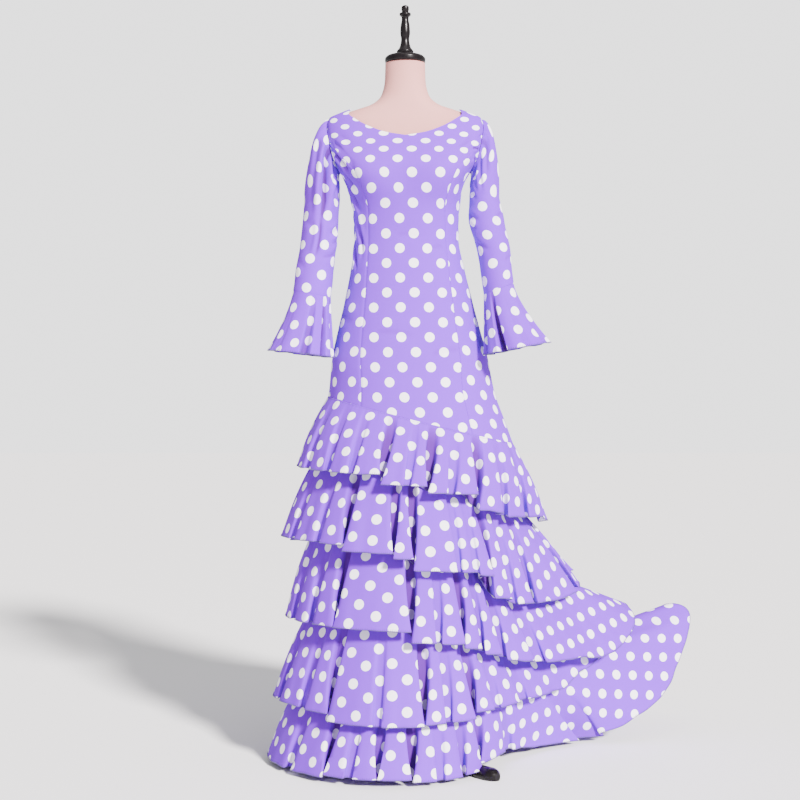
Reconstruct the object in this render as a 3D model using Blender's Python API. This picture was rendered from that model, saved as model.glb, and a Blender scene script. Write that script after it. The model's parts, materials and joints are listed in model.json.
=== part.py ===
# A flamenco dress with five flounces and a train, worn by a dress form on a tripod stand.
# Metres, +Z up. The front faces -Y. Left and right are as seen from the front.
# A turn is an angle in degrees round the body: 0 is the front, 90 the right side (+X), 180 the back.

import math
import random
from collections import namedtuple

import bpy
import numpy as np

cloth_wall = 0.0013           # crepe with its facing, as one wall
flounce_wall = 0.0016         # flounce cloth with its rolled hem
seam_gap = 0.0004             # clearance between two pieces that are sewn together
armhole_gap = 0.00064         # the same between a sleeve and the armhole
contact_gap = 0.0003          # clearance between two hard pieces that touch
underarm_height = 1.357
shoulder_height = 1.484
neck_point_height = 1.506
armhole_steps = 8             # rows from the underarm to the shoulder tip
# Rows of a bodice panel from the hip seam to the underarm, as shares of that height.
body_rows = (0.0, 0.13, 0.26, 0.38, 0.49, 0.59, 0.68, 0.76, 0.83, 0.89, 0.95, 1.0)
narrowest_column = 1.3        # degrees
narrow_share = 0.8            # share of a short row that its narrowest columns may fill
top_crowding = 8              # how late a panel's columns draw towards its top edge
hip_seam_height = 0.785       # where the first flounce is sewn on, at centre front
hip_seam_drop = 0.055         # how much lower that seam runs on the right side
form_bottom = 0.846
form_top = 1.612
form_columns = 40
# Heights of the form's rings, closer together where it bends more.
form_heights = (form_bottom, 0.89, 0.95, 1.03, 1.11, 1.165, 1.207, 1.25, 1.29, 1.325, 1.357, 1.385,
                1.410, 1.435, 1.458, 1.474, 1.486, 1.497, 1.507, 1.516, 1.528, 1.545, 1.575, form_top)
post_radius = 0.016
hub_radius = 0.030
hub_bottom = 0.215
hub_top = 0.290
leg_reach = 0.300             # from the axis to a foot's tip
first_leg_turn = 42.0
leg_count = 3
foot_start = 0.240            # past this distance from the axis a leg's sections stand upright
flounce_bands = (0.0, 0.45, 1.0)
fold_seed = 7
sharp_angle = 50.0            # degrees between two faces past which their edge looks sharp

# Cross-sections of the dressed body, each a rounded oval about the form's axis.
Section = namedtuple("Section", "height centre_x half_width front back fullness")
sections = (
    Section(0.640, 0.036, 0.255, 0.185, 0.205, 2.1),
    Section(0.700, 0.028, 0.234, 0.172, 0.190, 2.1),
    Section(0.780, 0.021, 0.211, 0.160, 0.176, 2.1),
    Section(0.850, 0.015, 0.192, 0.147, 0.165, 2.1),
    Section(0.930, 0.011, 0.180, 0.132, 0.152, 2.2),
    Section(1.000, 0.009, 0.163, 0.120, 0.142, 2.2),
    Section(1.060, 0.008, 0.148, 0.110, 0.130, 2.2),
    Section(1.126, 0.006, 0.1335, 0.098, 0.110, 2.2),
    Section(1.207, 0.004, 0.1195, 0.086, 0.086, 2.2),
    Section(1.260, 0.003, 0.121, 0.092, 0.088, 2.2),
    Section(1.320, 0.001, 0.131, 0.106, 0.097, 2.3),
    Section(1.357, 0.000, 0.150, 0.111, 0.103, 2.4),
    Section(1.390, 0.000, 0.170, 0.100, 0.107, 2.5),
    Section(1.431, 0.000, 0.182, 0.078, 0.106, 2.5),
    Section(1.460, 0.000, 0.185, 0.066, 0.098, 2.4),
    Section(1.484, 0.000, 0.177, 0.058, 0.082, 2.2),
    Section(1.497, 0.000, 0.150, 0.053, 0.068, 2.0),
    Section(1.506, 0.000, 0.125, 0.051, 0.060, 2.0),
    Section(1.521, 0.000, 0.080, 0.049, 0.053, 2.0),
    Section(1.540, 0.000, 0.060, 0.047, 0.049, 2.0),
    Section(1.572, 0.000, 0.0525, 0.046, 0.047, 2.0),
    Section(1.630, 0.000, 0.0505, 0.046, 0.047, 2.0),
)
# How far the form lies inside the dress's outer face: closest at the shoulders, which carry it.
Clearance = namedtuple("Clearance", "height distance")
form_clearances = (
    Clearance(0.840, 0.0050), Clearance(1.207, 0.0040), Clearance(1.290, 0.0055),
    Clearance(1.340, 0.0070), Clearance(1.430, 0.0072), Clearance(1.470, 0.0062),
    Clearance(1.490, 0.0062), Clearance(1.506, 0.0052), Clearance(1.620, 0.0045),
)
bust_turn = 36.0
bust_width = 21.0
bust_height = 1.338
bust_rise = 0.048
bust_fullness = 0.017

# Seam lines and edges on the body, as a turn for each height.
LinePoint = namedtuple("LinePoint", "height turn")
front_seam = (
    LinePoint(0.640, 34.0), LinePoint(0.850, 36.0), LinePoint(0.980, 38.5),
    LinePoint(1.120, 43.0), LinePoint(1.207, 46.0), LinePoint(1.300, 43.0),
    LinePoint(1.345, 43.0), LinePoint(1.380, 50.0), LinePoint(1.405, 59.0),
    LinePoint(1.4205, 67.0),
)
back_seam = (
    LinePoint(0.640, 143.0), LinePoint(0.850, 141.0), LinePoint(1.120, 136.0),
    LinePoint(1.207, 134.0), LinePoint(1.320, 134.0), LinePoint(1.380, 126.0),
    LinePoint(1.4205, 114.0),
)
armhole_front = (
    LinePoint(1.357, 90.0), LinePoint(1.363, 82.0), LinePoint(1.375, 76.0),
    LinePoint(1.400, 71.5), LinePoint(1.430, 71.0), LinePoint(1.460, 75.0),
    LinePoint(1.478, 82.0), LinePoint(1.484, 90.0),
)
armhole_back = (
    LinePoint(1.357, 90.0), LinePoint(1.363, 98.0), LinePoint(1.375, 104.0),
    LinePoint(1.400, 109.0), LinePoint(1.430, 110.0), LinePoint(1.460, 106.0),
    LinePoint(1.478, 98.0), LinePoint(1.484, 90.0),
)

# The neckline, as a height for each turn from the front.
NeckPoint = namedtuple("NeckPoint", "turn height")
front_neckline = (
    NeckPoint(0.0, 1.433), NeckPoint(14.0, 1.441), NeckPoint(27.0, 1.458),
    NeckPoint(38.0, 1.476), NeckPoint(50.0, 1.490), NeckPoint(65.0, 1.500),
    NeckPoint(90.0, 1.506),
)
back_neckline = (
    NeckPoint(90.0, 1.506), NeckPoint(110.0, 1.499), NeckPoint(130.0, 1.487),
    NeckPoint(145.0, 1.476), NeckPoint(160.0, 1.467), NeckPoint(180.0, 1.462),
)

# Sleeve rings below the armhole. The centre is measured outwards from the form's axis.
SleeveRing = namedtuple("SleeveRing", "height centre_out centre_y half_width half_depth tilt")
sleeve_rings = {
    "left": (
        SleeveRing(1.286, 0.1928, -0.002, 0.0410, 0.052, 0.000),
        SleeveRing(1.210, 0.1995, -0.014, 0.0415, 0.048, 0.001),
        SleeveRing(1.150, 0.2055, -0.026, 0.0425, 0.046, 0.004),
        SleeveRing(1.0725, 0.2145, -0.040, 0.0435, 0.044, 0.0075),
    ),
    "right": (
        SleeveRing(1.300, 0.1843, -0.004, 0.0345, 0.052, 0.000),
        SleeveRing(1.244, 0.1880, -0.016, 0.0405, 0.050, 0.001),
        SleeveRing(1.172, 0.2040, -0.042, 0.0370, 0.045, 0.005),
        SleeveRing(1.0825, 0.2132, -0.066, 0.0342, 0.042, 0.0125),
    ),
}
sleeve_cap_start = 0.006      # how far the sleeve leads away from the armhole under the arm
sleeve_cap_out = 0.024        # as much again at the top of the armhole
sleeve_cap_fall = 0.12        # how steeply it falls there
sleeve_arm_lead = 0.025       # how far the upper arm leads up towards the cap under the arm
sleeve_arm_lift = 0.075       # as much again on its outer side
sleeve_cap_bands = 4

# Cuff flounce hems, in the same terms, and their folds in degrees round the wrist.
cuff_hems = {
    "left": SleeveRing(0.936, 0.2390, -0.052, 0.0750, 0.080, 0.008),
    "right": SleeveRing(0.947, 0.2540, -0.084, 0.0750, 0.076, 0.014),
}
cuff_bands = (0.0, 0.3, 0.65, 1.0)
cuff_flare = 1.35             # how late a cuff flounce widens
Fold = namedtuple("Fold", "turn half_width depth")
cuff_folds = {
    "left": (
        Fold(38.0, 13.0, 0.016), Fold(84.0, 15.0, 0.012), Fold(118.0, 12.0, 0.026),
        Fold(152.0, 12.0, 0.014), Fold(205.0, 14.0, 0.018), Fold(252.0, 15.0, 0.022),
        Fold(300.0, 14.0, 0.018), Fold(340.0, 12.0, 0.012),
    ),
    "right": (
        Fold(32.0, 13.0, 0.012), Fold(72.0, 14.0, 0.014), Fold(112.0, 13.0, 0.030),
        Fold(148.0, 12.0, 0.012), Fold(200.0, 14.0, 0.016), Fold(246.0, 15.0, 0.022),
        Fold(292.0, 14.0, 0.020), Fold(335.0, 12.0, 0.014),
    ),
}

# Each flounce hangs from its seam loop on the skirt base to its hem loop.
# The first one's seam is worked out from the body, so its table holds the hem only.
HemPoint = namedtuple("HemPoint", "turn x y z")
FlouncePoint = namedtuple("FlouncePoint", "turn seam_x seam_y seam_z hem_x hem_y hem_z")
first_hem = (
    HemPoint(0, 0.000, -0.250, 0.645), HemPoint(25, 0.110, -0.225, 0.625),
    HemPoint(45, 0.195, -0.170, 0.600), HemPoint(60, 0.250, -0.110, 0.580),
    HemPoint(72, 0.290, -0.050, 0.565), HemPoint(84, 0.325, 0.020, 0.550),
    HemPoint(94, 0.338, 0.070, 0.543), HemPoint(102, 0.335, 0.110, 0.545),
    HemPoint(110, 0.320, 0.150, 0.550), HemPoint(120, 0.285, 0.190, 0.565),
    HemPoint(135, 0.225, 0.225, 0.585), HemPoint(155, 0.125, 0.245, 0.610),
    HemPoint(180, 0.000, 0.250, 0.630), HemPoint(215, -0.140, 0.205, 0.660),
    HemPoint(250, -0.225, 0.085, 0.690), HemPoint(285, -0.245, -0.055, 0.690),
    HemPoint(320, -0.160, -0.195, 0.665),
)
second_flounce = (
    FlouncePoint(0, 0.000, -0.185, 0.680, 0.000, -0.265, 0.487),
    FlouncePoint(25, 0.085, -0.165, 0.660, 0.115, -0.235, 0.455),
    FlouncePoint(45, 0.150, -0.120, 0.640, 0.205, -0.175, 0.415),
    FlouncePoint(60, 0.200, -0.070, 0.620, 0.275, -0.105, 0.380),
    FlouncePoint(72, 0.230, -0.020, 0.605, 0.330, -0.040, 0.368),
    FlouncePoint(84, 0.250, 0.030, 0.590, 0.385, 0.030, 0.372),
    FlouncePoint(94, 0.260, 0.070, 0.585, 0.415, 0.090, 0.383),
    FlouncePoint(102, 0.260, 0.100, 0.585, 0.420, 0.140, 0.390),
    FlouncePoint(110, 0.250, 0.125, 0.590, 0.405, 0.185, 0.408),
    FlouncePoint(120, 0.225, 0.150, 0.600, 0.370, 0.235, 0.428),
    FlouncePoint(135, 0.175, 0.175, 0.625, 0.285, 0.270, 0.445),
    FlouncePoint(155, 0.100, 0.185, 0.648, 0.155, 0.280, 0.460),
    FlouncePoint(180, 0.000, 0.180, 0.665, 0.000, 0.275, 0.470),
    FlouncePoint(215, -0.110, 0.140, 0.695, -0.140, 0.220, 0.500),
    FlouncePoint(250, -0.180, 0.060, 0.720, -0.250, 0.085, 0.515),
    FlouncePoint(285, -0.190, -0.045, 0.720, -0.280, -0.060, 0.520),
    FlouncePoint(320, -0.120, -0.145, 0.700, -0.170, -0.210, 0.510),
)
third_flounce = (
    FlouncePoint(0, 0.000, -0.195, 0.520, 0.000, -0.270, 0.325),
    FlouncePoint(25, 0.090, -0.170, 0.495, 0.110, -0.238, 0.290),
    FlouncePoint(45, 0.155, -0.120, 0.460, 0.205, -0.175, 0.250),
    FlouncePoint(60, 0.210, -0.060, 0.425, 0.295, -0.100, 0.222),
    FlouncePoint(72, 0.250, 0.000, 0.415, 0.380, -0.020, 0.215),
    FlouncePoint(84, 0.285, 0.050, 0.415, 0.455, 0.060, 0.217),
    FlouncePoint(94, 0.310, 0.090, 0.420, 0.515, 0.125, 0.236),
    FlouncePoint(102, 0.325, 0.120, 0.425, 0.562, 0.195, 0.278),
    FlouncePoint(110, 0.325, 0.150, 0.412, 0.555, 0.265, 0.318),
    FlouncePoint(120, 0.300, 0.185, 0.410, 0.490, 0.345, 0.320),
    FlouncePoint(135, 0.235, 0.215, 0.430, 0.360, 0.370, 0.285),
    FlouncePoint(155, 0.130, 0.215, 0.470, 0.190, 0.350, 0.285),
    FlouncePoint(180, 0.005, 0.195, 0.505, 0.010, 0.295, 0.300),
    FlouncePoint(215, -0.110, 0.150, 0.530, -0.130, 0.228, 0.315),
    FlouncePoint(250, -0.187, 0.060, 0.548, -0.238, 0.090, 0.328),
    FlouncePoint(285, -0.200, -0.045, 0.550, -0.272, -0.055, 0.335),
    FlouncePoint(320, -0.127, -0.150, 0.540, -0.170, -0.208, 0.335),
)
fourth_flounce = (
    FlouncePoint(0, 0.000, -0.205, 0.358, 0.000, -0.285, 0.130),
    FlouncePoint(25, 0.095, -0.178, 0.325, 0.120, -0.240, 0.135),
    FlouncePoint(45, 0.165, -0.125, 0.288, 0.210, -0.170, 0.145),
    FlouncePoint(60, 0.225, -0.055, 0.262, 0.280, -0.085, 0.150),
    FlouncePoint(72, 0.285, 0.010, 0.255, 0.345, 0.000, 0.158),
    FlouncePoint(84, 0.335, 0.070, 0.262, 0.405, 0.070, 0.180),
    FlouncePoint(94, 0.370, 0.115, 0.280, 0.465, 0.125, 0.208),
    FlouncePoint(102, 0.395, 0.155, 0.305, 0.505, 0.182, 0.246),
    FlouncePoint(110, 0.400, 0.200, 0.325, 0.505, 0.245, 0.278),
    FlouncePoint(120, 0.365, 0.250, 0.325, 0.455, 0.322, 0.272),
    FlouncePoint(135, 0.280, 0.280, 0.315, 0.350, 0.365, 0.205),
    FlouncePoint(155, 0.150, 0.275, 0.318, 0.190, 0.380, 0.165),
    FlouncePoint(180, 0.010, 0.235, 0.330, 0.010, 0.330, 0.150),
    FlouncePoint(215, -0.115, 0.175, 0.345, -0.150, 0.245, 0.145),
    FlouncePoint(250, -0.195, 0.068, 0.358, -0.265, 0.095, 0.150),
    FlouncePoint(285, -0.208, -0.050, 0.365, -0.298, -0.060, 0.155),
    FlouncePoint(320, -0.132, -0.160, 0.365, -0.182, -0.218, 0.135),
)
fifth_flounce = (
    FlouncePoint(0, 0.000, -0.212, 0.180, 0.000, -0.292, 0.018),
    FlouncePoint(25, 0.103, -0.182, 0.178, 0.125, -0.238, 0.020),
    FlouncePoint(42, 0.172, -0.128, 0.182, 0.195, -0.155, 0.050),
    FlouncePoint(60, 0.240, -0.045, 0.180, 0.285, 0.015, 0.036),
    FlouncePoint(72, 0.305, 0.035, 0.180, 0.400, 0.105, 0.018),
    FlouncePoint(84, 0.372, 0.095, 0.188, 0.540, 0.158, 0.050),
    FlouncePoint(94, 0.430, 0.140, 0.203, 0.652, 0.225, 0.124),
    FlouncePoint(102, 0.465, 0.185, 0.232, 0.716, 0.283, 0.285),
    FlouncePoint(110, 0.465, 0.235, 0.258, 0.662, 0.315, 0.313),
    FlouncePoint(120, 0.420, 0.295, 0.250, 0.600, 0.430, 0.215),
    FlouncePoint(135, 0.320, 0.330, 0.212, 0.450, 0.490, 0.060),
    FlouncePoint(155, 0.170, 0.320, 0.195, 0.235, 0.460, 0.016),
    FlouncePoint(180, 0.010, 0.268, 0.195, 0.020, 0.380, 0.016),
    FlouncePoint(215, -0.130, 0.196, 0.195, -0.168, 0.270, 0.016),
    FlouncePoint(250, -0.212, 0.075, 0.198, -0.288, 0.105, 0.020),
    FlouncePoint(285, -0.225, -0.052, 0.200, -0.312, -0.060, 0.030),
    FlouncePoint(320, -0.142, -0.168, 0.188, -0.198, -0.232, 0.020),
)

# Folds of each flounce that show from the front. The loop in flounce_folds adds the hidden ones.
shown_folds = {
    1: (
        Fold(-62.0, 5.0, 0.020), Fold(-45.0, 5.0, 0.024), Fold(-29.0, 4.5, 0.024),
        Fold(-13.0, 4.5, 0.040), Fold(1.0, 3.5, 0.022), Fold(11.0, 4.5, 0.042),
        Fold(23.0, 4.5, 0.024), Fold(37.0, 4.5, 0.042), Fold(53.0, 5.0, 0.028),
        Fold(69.0, 5.0, 0.028),
    ),
    2: (
        Fold(-64.0, 5.0, 0.022), Fold(-47.0, 4.0, 0.022), Fold(-32.0, 4.5, 0.042),
        Fold(-6.0, 4.0, 0.040), Fold(4.0, 4.0, 0.044), Fold(26.0, 3.3, 0.022),
        Fold(34.5, 3.3, 0.022), Fold(43.5, 4.0, 0.040), Fold(54.0, 4.0, 0.024),
        Fold(65.0, 4.5, 0.030),
    ),
    3: (
        Fold(-66.0, 5.0, 0.024), Fold(-52.0, 5.0, 0.026), Fold(-37.0, 4.5, 0.044),
        Fold(3.0, 4.5, 0.044), Fold(17.0, 4.0, 0.026), Fold(30.0, 4.0, 0.042),
        Fold(39.0, 3.5, 0.030), Fold(48.0, 4.0, 0.028), Fold(62.0, 5.0, 0.024),
    ),
    4: (
        Fold(-70.0, 5.0, 0.026), Fold(-52.0, 5.0, 0.024), Fold(-38.0, 4.5, 0.042),
        Fold(-13.0, 4.0, 0.020), Fold(9.0, 4.5, 0.042), Fold(20.0, 4.0, 0.026),
        Fold(33.0, 4.5, 0.038), Fold(44.0, 4.0, 0.022), Fold(58.0, 5.0, 0.022),
    ),
    5: (
        Fold(-56.0, 5.0, 0.024), Fold(-36.0, 4.5, 0.042), Fold(-24.0, 4.0, 0.024),
        Fold(-12.0, 4.0, 0.036), Fold(3.0, 4.5, 0.042), Fold(15.0, 4.0, 0.022),
        Fold(26.0, 4.0, 0.030), Fold(36.0, 4.0, 0.036), Fold(52.0, 5.0, 0.022),
        Fold(76.0, 6.0, 0.026),
    ),
}
# Where the hidden folds of each flounce lie, in degrees, and how far apart they are.
HiddenFolds = namedtuple("HiddenFolds", "first last spacing depth")
hidden_folds = {
    1: HiddenFolds(88.0, 285.0, 17.0, 0.030),
    2: HiddenFolds(84.0, 283.0, 17.0, 0.032),
    3: HiddenFolds(128.0, 282.0, 17.0, 0.032),
    4: HiddenFolds(136.0, 276.0, 17.0, 0.030),
    5: HiddenFolds(138.0, 262.0, 16.0, 0.030),
}
hidden_wander = 2.5           # degrees that a hidden fold may lie off its place
hidden_half_width = (4.5, 6.0)
hidden_depth_share = (0.7, 1.15)
hidden_spacing_share = (0.9, 1.1)
fold_side_slope = 0.3         # share of a fold's half width that its floor takes
fold_growth = 1.2             # how late a fold deepens from the seam to the hem
wide_lobe = 9.5               # a lobe wider than this, in degrees, gets a row of its own
fold_room = 0.62              # share of the room over the next flounce that a fold may take
train_turns = (80.0, 128.0)    # where the train hangs out, between these turns
base_step = 9.0               # degrees between the skirt base's columns, half that on the train
base_inset = 0.0027           # from the flounces' outer faces at their seams to the skirt base
hip_inset = 0.0024            # the same at the hip seam
train_inset = 0.0046          # as much again in the middle of the train
train_inset_reach = 1.3       # how far past the train's edges that goes, in half widths of the train
base_top_drop = 0.002         # from the hip seam to the skirt base's top edge
base_hem_drop = 0.012         # from the last flounce's seam to the skirt base's hem
closest_columns = 0.8         # degrees
no_limit = 1.0                # room, in metres, where nothing hangs under a flounce
flounce_swell = 0.008         # how far a flounce bellies out half way down


def clear_scene():
    for thing in list(bpy.data.objects):
        bpy.data.objects.remove(thing, do_unlink=True)


def blend_curve(positions, values, slopes, at):
    """Smooth curve through given values with given slopes."""
    at = np.asarray(at, dtype=float)
    index = np.clip(np.searchsorted(positions, at, side="right") - 1, 0, len(positions) - 2)
    width = positions[index + 1] - positions[index]
    t = (at - positions[index]) / width
    return ((1 + 2 * t) * (1 - t) ** 2 * values[index] + t * (1 - t) ** 2 * width * slopes[index]
            + t * t * (3 - 2 * t) * values[index + 1] + t * t * (t - 1) * width * slopes[index + 1])


def even_curve(table, key, value, at):
    """Curve through a table's rows that never overshoots them."""
    positions = np.array([getattr(row, key) for row in table], dtype=float)
    values = np.array([getattr(row, value) for row in table], dtype=float)
    steps = np.diff(values) / np.diff(positions)
    slopes = np.zeros(len(values))
    slopes[0] = steps[0]
    slopes[-1] = steps[-1]
    for i in range(1, len(values) - 1):
        if steps[i - 1] * steps[i] > 0:
            slopes[i] = 2 * steps[i - 1] * steps[i] / (steps[i - 1] + steps[i])
    at = np.clip(at, positions[0], positions[-1])
    return blend_curve(positions, values, slopes, at)


def loop_curve(table, columns, at):
    """Closed smooth curve through a table whose turns go once round."""
    turns = np.array([row.turn for row in table], dtype=float)
    turns = np.concatenate([turns[-2:] - 360.0, turns, turns[:2] + 360.0])
    points = []
    for column in columns:
        values = np.array([getattr(row, column) for row in table])
        values = np.concatenate([values[-2:], values, values[:2]])
        slopes = np.gradient(values, turns)
        points.append(blend_curve(turns, values, slopes, np.mod(at, 360.0)))
    return np.stack(points, axis=-1)


def body_point(turn, height):
    """Point on the dressed body's outer face."""
    turn = np.asarray(turn, dtype=float)
    height = np.asarray(height, dtype=float)
    radians = np.radians(turn)
    half_width = even_curve(sections, "height", "half_width", height)
    front = even_curve(sections, "height", "front", height)
    back = even_curve(sections, "height", "back", height)
    fullness = even_curve(sections, "height", "fullness", height)
    centre = even_curve(sections, "height", "centre_x", height)
    depth = np.where(np.cos(radians) >= 0, front, back)
    across = half_width * np.sin(radians)
    along = depth * np.cos(radians)
    length = np.hypot(across, along)
    across = across / length
    along = along / length
    reach = (np.abs(across / half_width) ** fullness + np.abs(along / depth) ** fullness) ** (-1 / fullness)
    side = np.abs((turn + 180.0) % 360.0 - 180.0)
    swell = np.exp(-((side - bust_turn) / bust_width) ** 2) * np.exp(-((height - bust_height) / bust_rise) ** 2)
    reach = reach + bust_fullness * swell
    return np.stack([centre + reach * across, -reach * along, height], axis=-1)


def body_normal(turn, height):
    step_turn = 0.5
    step_height = 0.0008
    around = body_point(turn + step_turn, height) - body_point(turn - step_turn, height)
    upward = body_point(turn, height + step_height) - body_point(turn, height - step_height)
    normal = np.cross(around, upward)
    return normal / np.linalg.norm(normal, axis=-1, keepdims=True)


def hip_seam(turn):
    return hip_seam_height - hip_seam_drop * np.sin(np.radians(turn))


def make_material(name, colour, roughness, metallic=0.0):
    material = bpy.data.materials.new(name)
    material.use_nodes = True
    shader = material.node_tree.nodes["Principled BSDF"]
    shader.inputs["Base Color"].default_value = (*colour, 1.0)
    shader.inputs["Roughness"].default_value = roughness
    shader.inputs["Metallic"].default_value = metallic
    return material


def make_object(name, points, faces, material):
    mesh = bpy.data.meshes.new(name)
    mesh.from_pydata([tuple(point) for point in points], [], faces)
    mesh.materials.append(material)
    mesh.shade_smooth()
    mesh.set_sharp_from_angle(angle=math.radians(sharp_angle))
    mesh.update()
    thing = bpy.data.objects.new(name, mesh)
    bpy.context.scene.collection.objects.link(thing)
    return thing


def grid_normals(grid, closed):
    """Unit normals of a grid of rows and columns, pointing away from the wearer."""
    if closed:
        around = np.roll(grid, -1, axis=1) - np.roll(grid, 1, axis=1)
    else:
        around = np.gradient(grid, axis=1)
    along = np.gradient(grid, axis=0)
    normals = np.cross(around, along)
    return normals / np.linalg.norm(normals, axis=-1, keepdims=True)


def make_wall(name, grid, thickness, material, closed, inward=1.0, normals=None):
    """A cloth wall: its outer face is the grid, its inner face lies one thickness in.
    Rows run from one edge to the other, columns go round towards +X from the front."""
    grid = np.asarray(grid)
    rows, columns = grid.shape[:2]
    if normals is None:
        normals = grid_normals(grid, closed) * inward
    inner = grid - normals * thickness
    points = np.concatenate([grid.reshape(-1, 3), inner.reshape(-1, 3)])
    offset = rows * columns
    last = columns if closed else columns - 1
    faces = []

    def corner(row, column, layer):
        return layer * offset + row * columns + column % columns

    def add(*around):
        faces.append(around if inward > 0 else around[::-1])

    for row in range(rows - 1):
        for column in range(last):
            for layer, turned in ((0, False), (1, True)):
                here = corner(row, column, layer)
                beside = corner(row, column + 1, layer)
                above = corner(row + 1, column, layer)
                across = corner(row + 1, column + 1, layer)
                for triangle in ((here, beside, across), (here, across, above)):
                    add(*(triangle[::-1] if turned else triangle))
    for column in range(last):
        add(corner(0, column, 1), corner(0, column + 1, 1),
            corner(0, column + 1, 0), corner(0, column, 0))
        add(corner(rows - 1, column, 0), corner(rows - 1, column + 1, 0),
            corner(rows - 1, column + 1, 1), corner(rows - 1, column, 1))
    if not closed:
        for row in range(rows - 1):
            add(corner(row, 0, 0), corner(row + 1, 0, 0), corner(row + 1, 0, 1), corner(row, 0, 1))
            add(corner(row, last, 1), corner(row + 1, last, 1), corner(row + 1, last, 0), corner(row, last, 0))
    return make_object(name, points, faces, material)


def pull_in(grid, distance):
    """Moves a panel's four edges inwards, so that it stays clear of its neighbours."""
    grid = grid.copy()
    for edge, neighbour in ((0, 1), (-1, -2)):
        step = grid[:, neighbour] - grid[:, edge]
        grid[:, edge] += distance * step / np.linalg.norm(step, axis=-1, keepdims=True)
    for edge, neighbour in ((0, 1), (-1, -2)):
        step = grid[neighbour] - grid[edge]
        grid[edge] += distance * step / np.linalg.norm(step, axis=-1, keepdims=True)
    return grid


def armhole_heights():
    """Row heights from the underarm to the shoulder tip, even round the armhole."""
    middle = (underarm_height + shoulder_height) / 2
    half = (shoulder_height - underarm_height) / 2
    return [middle - half * math.cos(math.pi * i / armhole_steps) for i in range(armhole_steps + 1)]


def line_points(line, heights):
    return [(float(even_curve(line, "height", "turn", z)), z) for z in heights]


def body_heights(turn, top=underarm_height):
    bottom = float(hip_seam(turn))
    return [bottom + (top - bottom) * share for share in body_rows]


def seam_to_armhole(line, side):
    """A princess seam from the hip up to where it meets the armhole."""
    low_turn = side * float(even_curve(line, "height", "turn", hip_seam_height))
    heights = body_heights(low_turn) + armhole_heights()[1:armhole_steps // 2 + 1]
    return [(side * turn, z) for turn, z in line_points(line, heights)]


def armhole_above(line, side):
    heights = armhole_heights()[armhole_steps // 2 + 1:]
    return [(side * turn, z) for turn, z in line_points(line, heights)]


def side_seam(line, side):
    """The side seam, then the armhole up to its princess seam."""
    low = [(side * 90.0, z) for z in body_heights(side * 90.0)]
    heights = armhole_heights()[1:armhole_steps // 2 + 1]
    return low + [(side * turn, z) for turn, z in line_points(line, heights)]


def bottom_edge(start, end, columns):
    turns = np.linspace(start, end, columns + 1)
    return [(turn, float(hip_seam(turn))) for turn in turns]


def fill_patch(left, right, bottom, top, crowded=True):
    """Grid between four edges, in turns and heights, then on the body, with its normals.
    A crowded one draws its columns towards the points of its top edge."""
    left = np.array(left)
    right = np.array(right)
    bottom = np.array(bottom)
    top = np.array(top)
    columns = len(bottom)
    even = np.linspace(0, 1, columns)[None, :]
    rise = ((left[:, 1] - left[0, 1]) / (left[-1, 1] - left[0, 1]))[:, None]
    start = left[:, 0][:, None]
    end = right[:, 0][:, None]
    turns = start * (1 - even) + end * even
    if crowded:
        crowding = rise ** top_crowding
        turns = (1 - crowding) * turns + crowding * top[:, 0][None, :]
    narrow = np.minimum(narrowest_column, (end - start) * narrow_share / (columns - 1))
    steps = np.arange(columns)[None, :] * narrow
    turns = np.clip(turns, start + steps, end - steps[:, ::-1])
    level = bottom[:, 1][None, :] * (1 - rise) + top[:, 1][None, :] * rise
    heights = level + (1 - even) * (left[:, 1][:, None] - level[:, :1]) + even * (right[:, 1][:, None] - level[:, -1:])
    return body_point(turns, heights), body_normal(turns, heights)


def shoulder_and_neck(side, neckline, steps, end_turn):
    """Top edge of a centre panel: shoulder tip, neck point, then the neckline."""
    edge = [(side * 90.0, shoulder_height), (side * 90.0, (shoulder_height + neck_point_height) / 2),
            (side * 90.0, neck_point_height)]
    turns = np.linspace(90.0, end_turn, steps + 1)[1:]
    edge += [(side * turn, float(even_curve(neckline, "turn", "height", turn))) for turn in turns]
    return edge


def make_panels(material):
    neck_steps = 6
    half_top = shoulder_and_neck(-1, front_neckline, neck_steps, 0.0)
    top = half_top + [(-turn, z) for turn, z in reversed(half_top[:-1])]
    left = seam_to_armhole(front_seam, -1) + armhole_above(armhole_front, -1)
    right = seam_to_armhole(front_seam, 1) + armhole_above(armhole_front, 1)
    grids = {"centre_front": fill_patch(left, right, bottom_edge(left[0][0], right[0][0], len(top) - 1), top)}
    side_columns = 5
    for side, word in ((-1, "left"), (1, "right")):
        inner = seam_to_armhole(front_seam, side)
        outer = side_seam(armhole_front, side)
        grids["side_front_" + word] = side_patch(inner, outer, side, side_columns)
        inner = side_seam(armhole_back, side)
        outer = seam_to_armhole(back_seam, side)
        grids["side_back_" + word] = side_patch(inner, outer, side, side_columns)
        back_top = shoulder_and_neck(side, back_neckline, neck_steps, 180.0)
        inner = seam_to_armhole(back_seam, side) + armhole_above(armhole_back, side)
        share = [(z - inner[0][1]) / (inner[-1][1] - inner[0][1]) for _, z in inner]
        low = float(hip_seam(180.0))
        outer = [(side * 180.0, low + part * (back_top[-1][1] - low)) for part in share]
        bottom = bottom_edge(inner[0][0], side * 180.0, len(back_top) - 1)
        if side > 0:
            grids["centre_back_right"] = fill_patch(inner, outer, bottom, back_top)
        else:
            grids["centre_back_left"] = fill_patch(outer, inner, bottom[::-1], back_top[::-1])
    for name, (grid, normals) in grids.items():
        make_wall(name, pull_in(grid, seam_gap / 2), cloth_wall, material, closed=False, normals=normals)


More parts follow.
